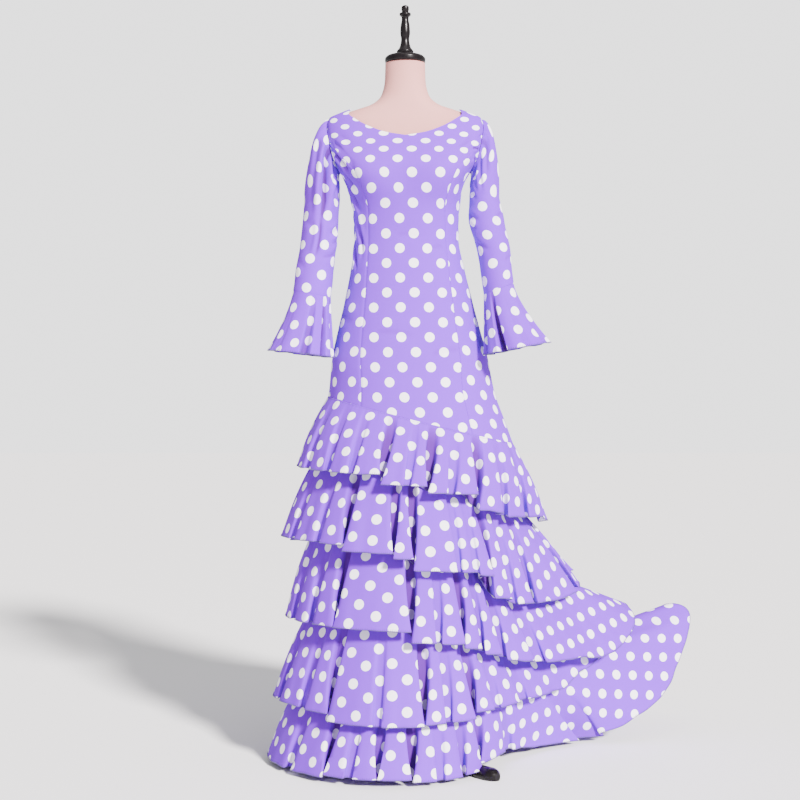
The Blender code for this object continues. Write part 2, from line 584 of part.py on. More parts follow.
def side_patch(inner, outer, side, columns):
    bottom = bottom_edge(inner[0][0], outer[0][0], columns)
    shares = np.linspace(0, 1, columns + 1)
    top = [((1 - s) * inner[-1][0] + s * outer[-1][0], inner[-1][1]) for s in shares]
    if side > 0:
        return fill_patch(inner, outer, bottom, top, crowded=False)
    return fill_patch(outer, inner, bottom[::-1], top[::-1], crowded=False)


def armhole_loop(side):
    """Armhole from its top, round by the front, the underarm and the back."""
    heights = armhole_heights()
    front = line_points(armhole_front, heights[::-1])
    back = line_points(armhole_back, heights[1:-1])
    loop = np.array([(side * turn, z) for turn, z in front + back])
    points = body_point(loop[:, 0], loop[:, 1])
    to_middle = points.mean(axis=0) - points
    to_middle[:, 0] = 0.0
    to_middle /= np.linalg.norm(to_middle, axis=-1, keepdims=True)
    return points + to_middle * armhole_gap


def ring_points(ring, side, phases):
    """Ring of a sleeve: phase 0 is its outer side, 90 its front, 180 the side by the body."""
    radians = np.radians(phases)
    x = side * (ring.centre_out + ring.half_width * np.cos(radians))
    y = ring.centre_y - ring.half_depth * np.sin(radians)
    z = ring.height + ring.tilt * np.cos(radians)
    return np.stack([x, y, z], axis=-1)


def sleeve_phases():
    return np.arange(2 * armhole_steps) * 180.0 / armhole_steps


def make_sleeve(word, side, material):
    phases = sleeve_phases()
    rings = sleeve_rings[word]
    start = armhole_loop(side)
    end = ring_points(rings[0], side, phases)
    lift = (1 + np.cos(np.radians(phases)))[:, None] / 2
    away = np.array([side, 0, -sleeve_cap_fall])
    up = np.array([0, 0, 1.0])
    first_handle = start + away * (sleeve_cap_start + sleeve_cap_out * lift)
    second_handle = end + up * (sleeve_arm_lead + sleeve_arm_lift * lift)
    grid = []
    for band in range(sleeve_cap_bands + 1):
        t = band / sleeve_cap_bands
        grid.append((1 - t) ** 3 * start + 3 * t * (1 - t) ** 2 * first_handle
                    + 3 * t * t * (1 - t) * second_handle + t ** 3 * end)
    for ring in rings[1:]:
        grid.append(ring_points(ring, side, phases))
    make_wall("sleeve_" + word, grid, cloth_wall, material, closed=True, inward=side)


def fold_depth(folds, turns, period=360.0):
    """How far the cloth lies in at each turn, for folds with soft sides and a narrow floor."""
    depth = np.zeros(len(turns))
    for fold in folds:
        away = np.abs((np.asarray(turns) - fold.turn + period / 2) % period - period / 2) / fold.half_width
        share = np.clip((1 - away) / (1 - fold_side_slope), 0, 1)
        depth = np.maximum(depth, fold.depth * share * share * (3 - 2 * share))
    return depth


def fold_columns(folds, train=False):
    """Turns at which a pleated wall has its columns: four for each fold, more on a wide lobe."""
    edges = []
    for fold in sorted(folds, key=lambda item: item.turn % 360.0):
        middle = fold.turn % 360.0
        for share in (-1.0, -fold_side_slope, fold_side_slope, 1.0):
            edges.append(middle + share * fold.half_width)
    edges = sorted(edges)
    columns = []
    for here, there in zip(edges, edges[1:] + [edges[0] + 360.0]):
        gap = there - here
        if columns and here - columns[-1] < closest_columns:
            continue
        columns.append(here)
        on_train = train and train_turns[0] < here < train_turns[1]
        extra = int(gap // (wide_lobe / 2 if on_train else wide_lobe))
        columns += [here + gap * (i + 1) / (extra + 1) for i in range(extra)]
    return np.array(columns)


def make_cuff(word, side, material):
    folds = cuff_folds[word]
    phases = fold_columns(folds)
    top = ring_points(sleeve_rings[word][-1], side, phases)
    hem = ring_points(cuff_hems[word], side, phases)
    top[:, 2] -= seam_gap
    outward = hem - np.array([side * cuff_hems[word].centre_out, cuff_hems[word].centre_y, 0])
    outward[:, 2] = 0
    outward /= np.linalg.norm(outward, axis=-1, keepdims=True)
    depth = fold_depth(folds, phases)[:, None]
    grid = []
    for share in cuff_bands:
        flare = share ** cuff_flare
        level = top * (1 - flare) + hem * flare
        level[:, 2] = top[:, 2] * (1 - share) + hem[:, 2] * share
        grid.append(level - outward * depth * share ** fold_growth)
    make_wall("cuff_flounce_" + word, grid, flounce_wall, material, closed=True, inward=side)


def flounce_folds(number):
    """All folds of a flounce: the shown ones and seeded ones where the photograph sees none."""
    rule = hidden_folds[number]
    chance = random.Random(fold_seed + number)
    folds = list(shown_folds[number])
    turn = rule.first + rule.spacing / 2
    while turn < rule.last:
        folds.append(Fold(turn + chance.uniform(-hidden_wander, hidden_wander),
                          chance.uniform(*hidden_half_width), rule.depth * chance.uniform(*hidden_depth_share)))
        turn += rule.spacing * chance.uniform(*hidden_spacing_share)
    return folds


def seam_loop(number, turns):
    if number == 1:
        return body_point(turns, hip_seam(turns) - seam_gap)
    return loop_curve(flounce_tables[number], ("seam_x", "seam_y", "seam_z"), turns)


def hem_loop(number, turns):
    if number == 1:
        return loop_curve(first_hem, ("x", "y", "z"), turns)
    return loop_curve(flounce_tables[number], ("hem_x", "hem_y", "hem_z"), turns)


flounce_tables = {2: second_flounce, 3: third_flounce, 4: fourth_flounce, 5: fifth_flounce}


def loop_outward(curve, number, turns):
    """Level direction away from the body, square to a loop."""
    step = 1.0
    along = curve(number, turns + step) - curve(number, turns - step)
    outward = np.stack([along[:, 1], -along[:, 0], np.zeros(len(turns))], axis=-1)
    return outward / np.linalg.norm(outward, axis=-1, keepdims=True)


def room_below(number, turns):
    """Level distance from a flounce's hem to the next flounce under it."""
    if number == 5:
        return np.full(len(turns), no_limit)
    hem = hem_loop(number, turns)
    seam = seam_loop(number + 1, turns)
    end = hem_loop(number + 1, turns)
    share = np.clip((seam[:, 2] - hem[:, 2]) / (seam[:, 2] - end[:, 2]), 0, 1)[:, None]
    under = seam * (1 - share) + end * share
    return np.hypot(*(hem - under)[:, :2].T)


def flounce_grid(number, turns, bands):
    """Rows of points of a flounce from its seam to its hem."""
    seam = seam_loop(number, turns)
    hem = hem_loop(number, turns)
    outward = loop_outward(hem_loop, number, turns)
    depth = np.minimum(fold_depth(flounce_folds(number), turns), fold_room * room_below(number, turns))[:, None]
    grid = []
    for share in bands:
        level = seam * (1 - share) + hem * share
        level = level + outward * flounce_swell * math.sin(math.pi * share)
        grid.append(level - outward * depth * share ** fold_growth)
    return grid


def make_flounce(number, material):
    turns = fold_columns(flounce_folds(number), train=True)
    grid = flounce_grid(number, turns, flounce_bands)
    make_wall("flounce_%d" % number, grid, flounce_wall, material, closed=True, inward=-1.0)


def make_skirt_base(material):
    """The plain skirt under the flounces, from the hip seam to below the last flounce's seam."""
    turns = np.array([turn for turn in np.arange(0, 360, base_step / 2)
                      if turn % base_step == 0 or train_turns[0] < turn < train_turns[1]])
    rings = [seam_loop(number, turns) for number in range(1, 6)]
    rings[0][:, 2] -= base_top_drop
    low = rings[-1].copy()
    low[:, 2] -= base_hem_drop
    grid = np.array(rings + [low])
    middle = sum(train_turns) / 2
    reach = (train_turns[1] - train_turns[0]) / 2
    inset = base_inset + train_inset * np.clip(train_inset_reach - np.abs(turns - middle) / reach, 0, 1)
    insets = np.tile(inset, (len(grid), 1))
    insets[0] = hip_inset
    grid += grid_normals(grid, True) * insets[:, :, None]
    make_wall("skirt_base", grid, cloth_wall, material, closed=True, inward=-1.0)


def loft_faces(rings, sides):
    """Faces of a closed solid through rings of points, with a flat face at each end."""
    faces = [tuple(reversed(range(sides)))]
    for ring in range(rings - 1):
        for side in range(sides):
            here = ring * sides + side
            there = ring * sides + (side + 1) % sides
            faces.append((here, there, there + sides, here + sides))
    faces.append(tuple(range((rings - 1) * sides, rings * sides)))
    return faces


def make_lathe(name, profile, sides, material):
    """Turned piece. The profile runs from the bottom up, as (radius, height)."""
    points = []
    for radius, height in profile:
        for side in range(sides):
            angle = 2 * math.pi * side / sides
            points.append((radius * math.cos(angle), radius * math.sin(angle), height))
    return make_object(name, points, loft_faces(len(profile), sides), material)


def make_form(material):
    """The padded form under the dress, closed at the hip and on top of the neck."""
    turns = np.arange(form_columns) * 360.0 / form_columns
    points = []
    for height in form_heights:
        level = np.full(form_columns, height)
        distance = even_curve(form_clearances, "height", "distance", height)
        ring = body_point(turns, level) - body_normal(turns, level) * distance
        if height == form_bottom:
            ring[:, 2] = form_bottom
        points.append(ring)
    points = np.concatenate(points)
    make_object("form_torso", points, loft_faces(len(form_heights), form_columns), material)


def make_leg(number, material):
    """Cabriole leg: a bent, tapering arm with a low pad foot that is flat underneath."""
    LegRing = namedtuple("LegRing", "out height half_width half_height")
    rings = (
        LegRing(hub_radius + contact_gap, 0.250, 0.013, 0.022), LegRing(0.055, 0.256, 0.013, 0.019),
        LegRing(0.090, 0.246, 0.0125, 0.017), LegRing(0.125, 0.210, 0.012, 0.016),
        LegRing(0.152, 0.150, 0.0115, 0.015), LegRing(0.175, 0.090, 0.011, 0.014),
        LegRing(0.200, 0.040, 0.012, 0.012), LegRing(0.222, 0.017, 0.015, 0.012),
        LegRing(0.250, 0.009, 0.020, 0.017), LegRing(0.276, 0.009, 0.0215, 0.017),
        LegRing(0.292, 0.0085, 0.016, 0.015), LegRing(leg_reach, 0.008, 0.008, 0.010),
    )
    sides = 10
    turn = math.radians(first_leg_turn + number * 360.0 / leg_count)
    out = np.array([math.sin(turn), -math.cos(turn)])
    across = np.array([math.cos(turn), math.sin(turn)])
    points = []
    for index, ring in enumerate(rings):
        before = rings[max(index - 1, 0)]
        after = rings[min(index + 1, len(rings) - 1)]
        lean = math.atan2(after.height - before.height, after.out - before.out)
        if index == 0 or ring.out > foot_start:
            lean = 0.0
        for side in range(sides):
            angle = 2 * math.pi * side / sides
            shift = ring.half_width * math.cos(angle)
            rise = ring.half_height * math.sin(angle)
            radial = ring.out - rise * math.sin(lean)
            height = max(ring.height + rise * math.cos(lean), 0.0)
            spot = out * radial + across * shift
            points.append((spot[0], spot[1], height))
    make_object("stand_leg_%d" % (number + 1), points, loft_faces(len(rings), sides), material)


def make_stand(wood):
    make_lathe("stand_post", ((post_radius, hub_top + contact_gap), (post_radius, form_bottom - contact_gap)), 20, wood)
    hub_profile = (
        (0.012, hub_bottom - 0.020), (0.022, hub_bottom - 0.008), (hub_radius, hub_bottom + 0.005),
        (hub_radius, 0.278), (0.026, 0.285), (0.021, hub_top),
    )
    make_lathe("stand_hub", hub_profile, 24, wood)
    for number in range(leg_count):
        make_leg(number, wood)


def make_finial(wood):
    """Turned cap on the neck with its spindle and knob."""
    base = form_top + 0.0008
    make_lathe("neck_cap", ((0.044, base), (0.047, base + 0.004), (0.047, base + 0.011),
                            (0.040, base + 0.017), (0.020, base + 0.021)), 28, wood)
    foot = base + 0.0213
    profile = (
        (0.018, foot), (0.0195, foot + 0.006), (0.013, foot + 0.016), (0.0095, foot + 0.034),
        (0.0115, foot + 0.050), (0.0105, foot + 0.066), (0.0082, foot + 0.080),
        (0.0085, foot + 0.086), (0.0132, foot + 0.0905), (0.0132, foot + 0.0945),
        (0.0075, foot + 0.098), (0.0088, foot + 0.104), (0.0085, foot + 0.110), (0.004, foot + 0.1135),
    )
    make_lathe("finial", profile, 20, wood)


def set_origin():
    """Puts the origin under the middle of the whole model, on the floor."""
    corners = np.array([vertex.co for thing in bpy.data.objects for vertex in thing.data.vertices])
    low = corners.min(axis=0)
    high = corners.max(axis=0)
    for thing in bpy.data.objects:
        thing.location = (-(low[0] + high[0]) / 2, -(low[1] + high[1]) / 2, -low[2])


def main():
    clear_scene()
    crepe = make_material("lavender_crepe", (0.40, 0.29, 0.80), 0.75)
    padding = make_material("form_jersey", (0.85, 0.62, 0.58), 0.9)
    wood = make_material("black_lacquered_wood", (0.012, 0.010, 0.012), 0.25)
    make_form(padding)
    make_finial(wood)
    make_stand(wood)
    make_panels(crepe)
    for word, side in (("left", -1), ("right", 1)):
        make_sleeve(word, side, crepe)
        make_cuff(word, side, crepe)
    make_skirt_base(crepe)
    for number in range(1, 6):
        make_flounce(number, crepe)
    set_origin()


main()
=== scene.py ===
import json
import math
import random

import bpy
import numpy as np
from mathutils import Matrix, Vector

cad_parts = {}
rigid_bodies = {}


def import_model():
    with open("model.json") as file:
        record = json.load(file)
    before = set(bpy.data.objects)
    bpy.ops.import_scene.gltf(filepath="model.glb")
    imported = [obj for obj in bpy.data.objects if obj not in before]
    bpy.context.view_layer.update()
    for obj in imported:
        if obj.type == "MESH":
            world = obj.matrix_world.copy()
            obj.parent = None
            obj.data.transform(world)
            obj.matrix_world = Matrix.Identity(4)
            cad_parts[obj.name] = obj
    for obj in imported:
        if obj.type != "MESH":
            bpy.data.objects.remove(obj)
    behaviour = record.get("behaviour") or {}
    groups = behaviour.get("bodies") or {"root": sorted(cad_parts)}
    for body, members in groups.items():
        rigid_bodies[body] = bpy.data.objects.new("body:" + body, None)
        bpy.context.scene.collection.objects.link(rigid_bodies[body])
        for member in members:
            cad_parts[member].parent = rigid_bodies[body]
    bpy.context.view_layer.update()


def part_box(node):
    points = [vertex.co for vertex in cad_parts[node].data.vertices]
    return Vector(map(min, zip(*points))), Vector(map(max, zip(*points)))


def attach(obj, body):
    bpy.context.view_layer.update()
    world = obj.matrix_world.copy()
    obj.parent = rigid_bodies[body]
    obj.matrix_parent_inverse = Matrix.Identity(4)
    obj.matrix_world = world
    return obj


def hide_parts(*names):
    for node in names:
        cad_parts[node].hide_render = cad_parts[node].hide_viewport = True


for thing in list(bpy.data.objects):
    bpy.data.objects.remove(thing, do_unlink=True)
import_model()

finialBox = np.array(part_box("finial"))
formAxis = np.array([finialBox[:, 0].mean(), finialBox[:, 1].mean(), 0.0])  # metres, +Z up, front towards -Y

bodice = {  # turns: degrees round the body, 0 at the front, 90 at the right side as seen, 180 at the back
    "wall": 0.0011, "underarm": 1.357, "shoulder": 1.484, "neckPoint": 1.506,
    "hipSeam": 0.785, "hipSeamDrop": 0.055, "bustTurn": 36.0, "bustWidth": 21.0, "bustHeight": 1.338,
    "bustRise": 0.048, "bustFullness": 0.017, "seamDip": 0.0011, "seamDipWidth": 0.0030,
    "columnStep": 0.0045, "closeRowsFrom": 1.362, "closeRows": 0.95, "closeEase": 0.05,
    # the first two values below set the painted crease shade: the crease depth at which it is full, and the
    # share of that depth a crease needs before any shade is painted
    "fullShadeDepth": 0.0016, "shadeFreeShare": 0.1, "creaseBend": 0.005, "perTurn": 0.0026, "hipPerTurn": 0.0030,
    "pucker": 0.00045, "puckerFade": 0.009, "sag": 0.0007, "sagFade": 0.02, "seamGap": 0.0002,
    "armholeInset": 0.0007,
}
bodySections = {
    "height": [0.64, 0.70, 0.78, 0.85, 0.93, 1.00, 1.06, 1.126, 1.207, 1.26, 1.32, 1.357, 1.39, 1.431,
               1.46, 1.484, 1.497, 1.506, 1.521, 1.54, 1.572, 1.63],
    "centreX": [0.036, 0.028, 0.021, 0.015, 0.011, 0.009, 0.008, 0.006, 0.004, 0.003, 0.001, 0, 0, 0,
                0, 0, 0, 0, 0, 0, 0, 0],
    "halfWidth": [0.255, 0.234, 0.211, 0.192, 0.180, 0.163, 0.148, 0.1335, 0.1195, 0.121, 0.131, 0.150,
                  0.170, 0.182, 0.185, 0.177, 0.150, 0.125, 0.080, 0.060, 0.0525, 0.0505],
    "front": [0.185, 0.172, 0.160, 0.147, 0.132, 0.120, 0.110, 0.098, 0.086, 0.092, 0.106, 0.111,
              0.100, 0.078, 0.066, 0.058, 0.053, 0.051, 0.049, 0.047, 0.046, 0.046],
    "back": [0.205, 0.190, 0.176, 0.165, 0.152, 0.142, 0.130, 0.110, 0.086, 0.088, 0.097, 0.103,
             0.107, 0.106, 0.098, 0.082, 0.068, 0.060, 0.053, 0.049, 0.047, 0.047],
    "fullness": [2.1, 2.1, 2.1, 2.1, 2.2, 2.2, 2.2, 2.2, 2.2, 2.2, 2.3, 2.4, 2.5, 2.5, 2.4, 2.2,
                 2.0, 2.0, 2.0, 2.0, 2.0, 2.0],
}
seamLines = {  # heights, then turns
    "frontSeam": ([0.64, 0.85, 0.98, 1.12, 1.207, 1.30, 1.345, 1.38, 1.405, 1.4205],
                  [34.0, 36.0, 38.5, 43.0, 46.0, 43.0, 43.0, 50.0, 59.0, 67.0]),
    "backSeam": ([0.64, 0.85, 1.12, 1.207, 1.32, 1.38, 1.4205],
                 [143.0, 141.0, 136.0, 134.0, 134.0, 126.0, 114.0]),
    "armholeFront": ([1.357, 1.363, 1.375, 1.40, 1.43, 1.46, 1.478, 1.484],
                     [90.0, 82.0, 76.0, 71.5, 71.0, 75.0, 82.0, 90.0]),
    "armholeBack": ([1.357, 1.363, 1.375, 1.40, 1.43, 1.46, 1.478, 1.484],
                    [90.0, 98.0, 104.0, 109.0, 110.0, 106.0, 98.0, 90.0]),
}
necklines = {  # turns, then heights
    "front": ([0, 14, 27, 38, 50, 65, 90], [1.433, 1.441, 1.458, 1.476, 1.490, 1.500, 1.506]),
    "back": ([90, 110, 130, 145, 160, 180], [1.506, 1.499, 1.487, 1.476, 1.467, 1.462]),
}


def awayFrom(turns, middle):  # signed, the short way round
    return (turns - middle + 180) % 360 - 180


def curveThrough(xs, ys, slopes, at):
    index = np.clip(np.searchsorted(xs, at, side="right") - 1, 0, len(xs) - 2)
    width = xs[index + 1] - xs[index]
    t = (at - xs[index]) / width
    return ((1 + 2 * t) * (1 - t) ** 2 * ys[index] + t * (1 - t) ** 2 * width * slopes[index]
            + t * t * (3 - 2 * t) * ys[index + 1] + t * t * (t - 1) * width * slopes[index + 1])


def evenCurve(xs, ys, at):  # never overshoots its rows
    xs = np.asarray(xs, dtype=float)
    ys = np.asarray(ys, dtype=float)
    steps = np.diff(ys) / np.diff(xs)
    slopes = np.zeros(len(ys))
    slopes[0] = steps[0]
    slopes[-1] = steps[-1]
    product = steps[:-1] * steps[1:]
    together = np.where(product > 0, steps[:-1] + steps[1:], 1.0)
    slopes[1:-1] = np.where(product > 0, 2 * product / together, 0.0)
    return curveThrough(xs, ys, slopes, np.clip(at, xs[0], xs[-1]))


def loopCurve(table, columns, at):  # closed, smooth, through rows whose first value is the turn
    turns = table[:, 0]
    turns = np.concatenate([turns[-2:] - 360, turns, turns[:2] + 360])
    out = []
    for column in columns:
        values = table[:, column]
        values = np.concatenate([values[-2:], values, values[:2]])
        out.append(curveThrough(turns, values, np.gradient(values, turns), np.mod(at, 360)))
    return np.stack(out, axis=-1)


def bodyPoint(turn, height):
    turn = np.asarray(turn, dtype=float)
    height = np.asarray(height, dtype=float)
    radians = np.radians(turn)
    section = {name: evenCurve(bodySections["height"], bodySections[name], height)
               for name in ("centreX", "halfWidth", "front", "back", "fullness")}
    depth = np.where(np.cos(radians) >= 0, section["front"], section["back"])
    across = section["halfWidth"] * np.sin(radians)
    along = depth * np.cos(radians)
    length = np.hypot(across, along)
    across = across / length
    along = along / length
    power = section["fullness"]
    reach = (np.abs(across / section["halfWidth"]) ** power + np.abs(along / depth) ** power) ** (-1 / power)
    side = np.abs(awayFrom(turn, 0))
    swell = (np.exp(-((side - bodice["bustTurn"]) / bodice["bustWidth"]) ** 2)
             * np.exp(-((height - bodice["bustHeight"]) / bodice["bustRise"]) ** 2))
    reach = reach + bodice["bustFullness"] * swell
    return np.stack([section["centreX"] + reach * across, -reach * along, height], axis=-1)


def bodyNormal(turn, height):
    around = bodyPoint(turn + 0.5, height) - bodyPoint(turn - 0.5, height)
    upward = bodyPoint(turn, height + 0.0008) - bodyPoint(turn, height - 0.0008)
    normal = np.cross(around, upward)
    return normal / np.linalg.norm(normal, axis=-1, keepdims=True)


def hipSeam(turn):
    return bodice["hipSeam"] - bodice["hipSeamDrop"] * np.sin(np.radians(turn))


def gridNormals(grid, closed):
    if closed:
        around = np.roll(grid, -1, axis=1) - np.roll(grid, 1, axis=1)
    else:
        around = np.gradient(grid, axis=1)
    along = np.gradient(grid, axis=0)
    return unit(np.cross(around, along))


def gridArea(grid, closed):
    if closed:
        grid = np.concatenate([grid, grid[:, :1]], axis=1)
    a = grid[1:, 1:] - grid[:-1, :-1]
    b = grid[1:, :-1] - grid[:-1, 1:]
    return float(np.linalg.norm(np.cross(a, b), axis=-1).sum() / 2)


def runAlong(points):  # length run along the first axis, from 0
    steps = np.linalg.norm(np.diff(points, axis=0), axis=-1)
    return np.concatenate([np.zeros((1, *steps.shape[1:])), np.cumsum(steps, axis=0)])


def unit(vectors):
    return vectors / np.maximum(np.linalg.norm(vectors, axis=-1, keepdims=True), 1e-12)


def setMeshUv(mesh, uvs):
    layer = mesh.uv_layers.new(name="clothMap")
    layer.data.foreach_set("uv", np.asarray(uvs, dtype=np.float32).ravel())


def addObject(name, data):
    thing = bpy.data.objects.new(name, data)
    bpy.context.scene.collection.objects.link(thing)
    return thing


def addPiece(name, mesh, material, sharpAngle=None):
    mesh.materials.append(material)
    mesh.shade_smooth()
    if sharpAngle:
        mesh.set_sharp_from_angle(angle=math.radians(sharpAngle))
    return addObject(name, mesh)


def clothShell(name, grid, uv, wall, material, closed,  # the grid is the outer face
               flip=False, normals=None, paintedCreaseShade=None):
    rows, columns = grid.shape[:2]
    if normals is None:
        normals = gridNormals(grid, closed) * (-1 if flip else 1)
    points = np.concatenate([grid.reshape(-1, 3), (grid - normals * wall).reshape(-1, 3)]) + formAxis
    last = columns if closed else columns - 1
    r, c = np.meshgrid(np.arange(rows - 1), np.arange(last), indexing="ij")
    r = r.ravel()
    c = c.ravel()
    count = rows * columns
    uvColumns = uv.shape[1]

    def vertex(row, column, layer):
        return layer * count + row * columns + column % columns

    def mapped(row, column):
        return row * uvColumns + column

    corners = ((r, c), (r, c + 1), (r + 1, c + 1), (r + 1, c))
    outer = np.stack([vertex(a, b, 0) for a, b in corners], axis=-1)
    inner = np.stack([vertex(a, b, 1) for a, b in corners[::-1]], axis=-1)
    outerUv = np.stack([mapped(a, b) for a, b in corners], axis=-1)
    faces = [outer, inner]
    uvFaces = [outerUv, outerUv[:, ::-1]]
    edge = np.arange(last)
    for row, order in ((0, 1), (rows - 1, -1)):
        quad = [(vertex(row, edge, 1), mapped(row, edge)),
                (vertex(row, edge + 1, 1), mapped(row, edge + 1)),
                (vertex(row, edge + 1, 0), mapped(row, edge + 1)),
                (vertex(row, edge, 0), mapped(row, edge))][::order]
        faces.append(np.stack([item[0] for item in quad], axis=-1))
        uvFaces.append(np.stack([item[1] + 0 * edge for item in quad], axis=-1))
    if not closed:
        edge = np.arange(rows - 1)
        for column, order in ((0, 1), (columns - 1, -1)):
            quad = [(vertex(edge, column, 0), mapped(edge, column)),
                    (vertex(edge + 1, column, 0), mapped(edge + 1, column)),
                    (vertex(edge + 1, column, 1), mapped(edge + 1, column)),
                    (vertex(edge, column, 1), mapped(edge, column))][::order]
            faces.append(np.stack([item[0] for item in quad], axis=-1))
            uvFaces.append(np.stack([item[1] for item in quad], axis=-1))
    faces = np.concatenate(faces)
    uvFaces = np.concatenate(uvFaces)
    if flip:
        faces = faces[:, ::-1]
        uvFaces = uvFaces[:, ::-1]
    mesh = bpy.data.meshes.new(name)
    mesh.from_pydata(points.tolist(), [], faces.tolist())
    setMeshUv(mesh, uv.reshape(-1, 2)[uvFaces.ravel()])
    # per-point painted crease shade, 0 to 1, stored on the mesh so the cloth material can darken the colour in
    # creases
    creaseShade = np.zeros((rows, columns)) if paintedCreaseShade is None else np.clip(paintedCreaseShade, 0, 1)
    attribute = mesh.attributes.new("paintedCreaseShade", "FLOAT", "POINT")
    attribute.data.foreach_set("value", np.tile(creaseShade.ravel(), 2).astype(np.float32))
    return addPiece(name, mesh, material, 60)


def declare(piece, nodes=()):
    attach(piece, "root")
    if nodes:
        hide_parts(*nodes)


def newMaterial(name):
    material = bpy.data.materials.new(name)
    material.use_nodes = True
    tree = material.node_tree

    def fill(node, inputs):
        for key, value in inputs.items():
            if isinstance(value, bpy.types.NodeSocket):
                tree.links.new(value, node.inputs[key])
            else:
                node.inputs[key].default_value = value
        return node

    def make(kind, inputs=(), **settings):
        node = tree.nodes.new(kind)
        for key, value in settings.items():
            setattr(node, key, value)
        return fill(node, dict(inputs))

    def noise(place, scale, detail, **inputs):
        inputs = {"Vector": place, "Scale": scale, "Detail": detail, **inputs}
        return make("ShaderNodeTexNoise", inputs).outputs[0]

    def mix(share, *ends):
        first, second = (end if isinstance(end, bpy.types.NodeSocket) else (*end, 1) for end in ends)
        return make("ShaderNodeMix", {0: share, 6: first, 7: second}, data_type="RGBA").outputs[2]

    def finish(colour, relief, strength, distance, inputs):
        inputs = {"Base Color": colour, **inputs}
        if relief is not None:
            bump = make("ShaderNodeBump", {"Strength": strength, "Distance": distance, "Height": relief})
            inputs["Normal"] = bump.outputs[0]
        fill(tree.nodes["Principled BSDF"], inputs)
        return material

    return make, noise, mix, finish


crepeLook = {
    "dotRadius": 0.0113, "dotStep": 0.0642, "rowStep": 0.0344, "edge": 0.00045,
    "ground": (0.185, 0.012, 0.660), "groundDeep": (0.160, 0.008, 0.610),
    "dot": (0.90, 0.87, 0.95), "dotDeep": 0.93, "wander": 420.0, "wanderReach": 0.0009,
    "grain": 1500.0, "grainDepth": 0.00022, "grainStrength": 0.55, "slub": 180.0, "drift": 7.0,
    # the next three values paint shade into the creases: how strongly, then the ground and the dot colours there
    "creaseShadeStrength": 0.9, "groundInCreaseShade": (0.075, 0.008, 0.190), "dotInCreaseShade": (0.42, 0.34, 0.56),
    "smooth": 0.70, "rough": 0.88, "specular": 0.10, "sheen": 0.04, "sheenTint": (0.85, 0.80, 1.0, 1),
}


def makeCrepe():
    look = crepeLook
    make, noise, mix, finish = newMaterial("lavenderDottedCrepe")

    def maths(operation, first, second=0.0, third=0.0):
        return make("ShaderNodeMath", {0: first, 1: second, 2: third}, operation=operation).outputs[0]

    def lattice(value, step):  # the nearest line's number, and how far off it is
        line = maths("FLOOR", maths("ADD", maths("DIVIDE", value, step), 0.5))
        return line, maths("SUBTRACT", value, maths("MULTIPLY", line, step))

    def between(value, fromA, fromB, **settings):
        return make("ShaderNodeMapRange", {0: value, 1: fromA, 2: fromB}, **settings).outputs[0]

    uv = make("ShaderNodeUVMap", uv_map="clothMap").outputs[0]
    place = make("ShaderNodeTexCoord").outputs["Object"]
    across, along = make("ShaderNodeSeparateXYZ", {0: uv}).outputs[:2]
    row, offAlong = lattice(along, look["rowStep"])
    shifted = maths("MULTIPLY_ADD", maths("FLOORED_MODULO", row, 2.0), look["dotStep"] / 2, across)
    offAcross = lattice(shifted, look["dotStep"])[1]
    distance = maths("SQRT", maths("ADD", maths("MULTIPLY", offAcross, offAcross),
                                   maths("MULTIPLY", offAlong, offAlong)))
    wander = maths("SUBTRACT", noise(uv, look["wander"], 1.0), 0.5)
    distance = maths("ADD", distance, maths("MULTIPLY", wander, look["wanderReach"]))
    mask = between(distance, look["dotRadius"] + look["edge"], look["dotRadius"] - look["edge"],
                   interpolation_type="SMOOTHSTEP")
    slub = noise(uv, look["slub"], 3.0)
    tone = maths("ADD", maths("MULTIPLY", slub, 0.6), maths("MULTIPLY", noise(place, look["drift"], 2.0), 0.5))
    # painted shade: where the crease attribute is set, ground and dots darken as if shaded inside the fold
    creaseShade = maths("MULTIPLY", make("ShaderNodeAttribute", attribute_name="paintedCreaseShade").outputs["Fac"],
                    look["creaseShadeStrength"])
    ground = mix(creaseShade, mix(tone, look["groundDeep"], look["ground"]), look["groundInCreaseShade"])
    dotDeep = [c * look["dotDeep"] for c in look["dot"]]
    dot = mix(creaseShade, mix(slub, dotDeep, look["dot"]), look["dotInCreaseShade"])
    grain = noise(uv, look["grain"], 2.0, Roughness=0.6)
    pebble = make("ShaderNodeTexVoronoi", {"Vector": uv, "Scale": look["grain"] * 0.6}).outputs[0]
    relief = maths("ADD", maths("MULTIPLY", grain, 0.6), maths("MULTIPLY", pebble, 0.4))
    rough = make("ShaderNodeMapRange", {0: grain, 3: look["smooth"], 4: look["rough"]}).outputs[0]
    return finish(mix(mask, ground, dot), relief, look["grainStrength"], look["grainDepth"], {
        "Roughness": rough, "Specular IOR Level": look["specular"], "Sheen Weight": look["sheen"],
        "Sheen Roughness": 0.45, "Sheen Tint": look["sheenTint"]})


threadLook = {"deep": (0.030, 0.008, 0.120), "pale": (0.065, 0.020, 0.230), "twist": 900.0, "rough": 0.55}


def makeThread():
    make, noise, mix, finish = newMaterial("violetOverlockThread")
    twist = noise(make("ShaderNodeTexCoord").outputs["Object"], threadLook["twist"], 2.0)
    return finish(mix(twist, threadLook["deep"], threadLook["pale"]), twist, 0.4, 0.0002,
                  {"Roughness": threadLook["rough"], "Sheen Weight": 0.2})


jerseyLook = {"deep": (0.52, 0.22, 0.20), "pale": (0.60, 0.29, 0.27), "wales": 260.0, "rough": 0.82,
              "specular": 0.2, "sheen": 0.08}


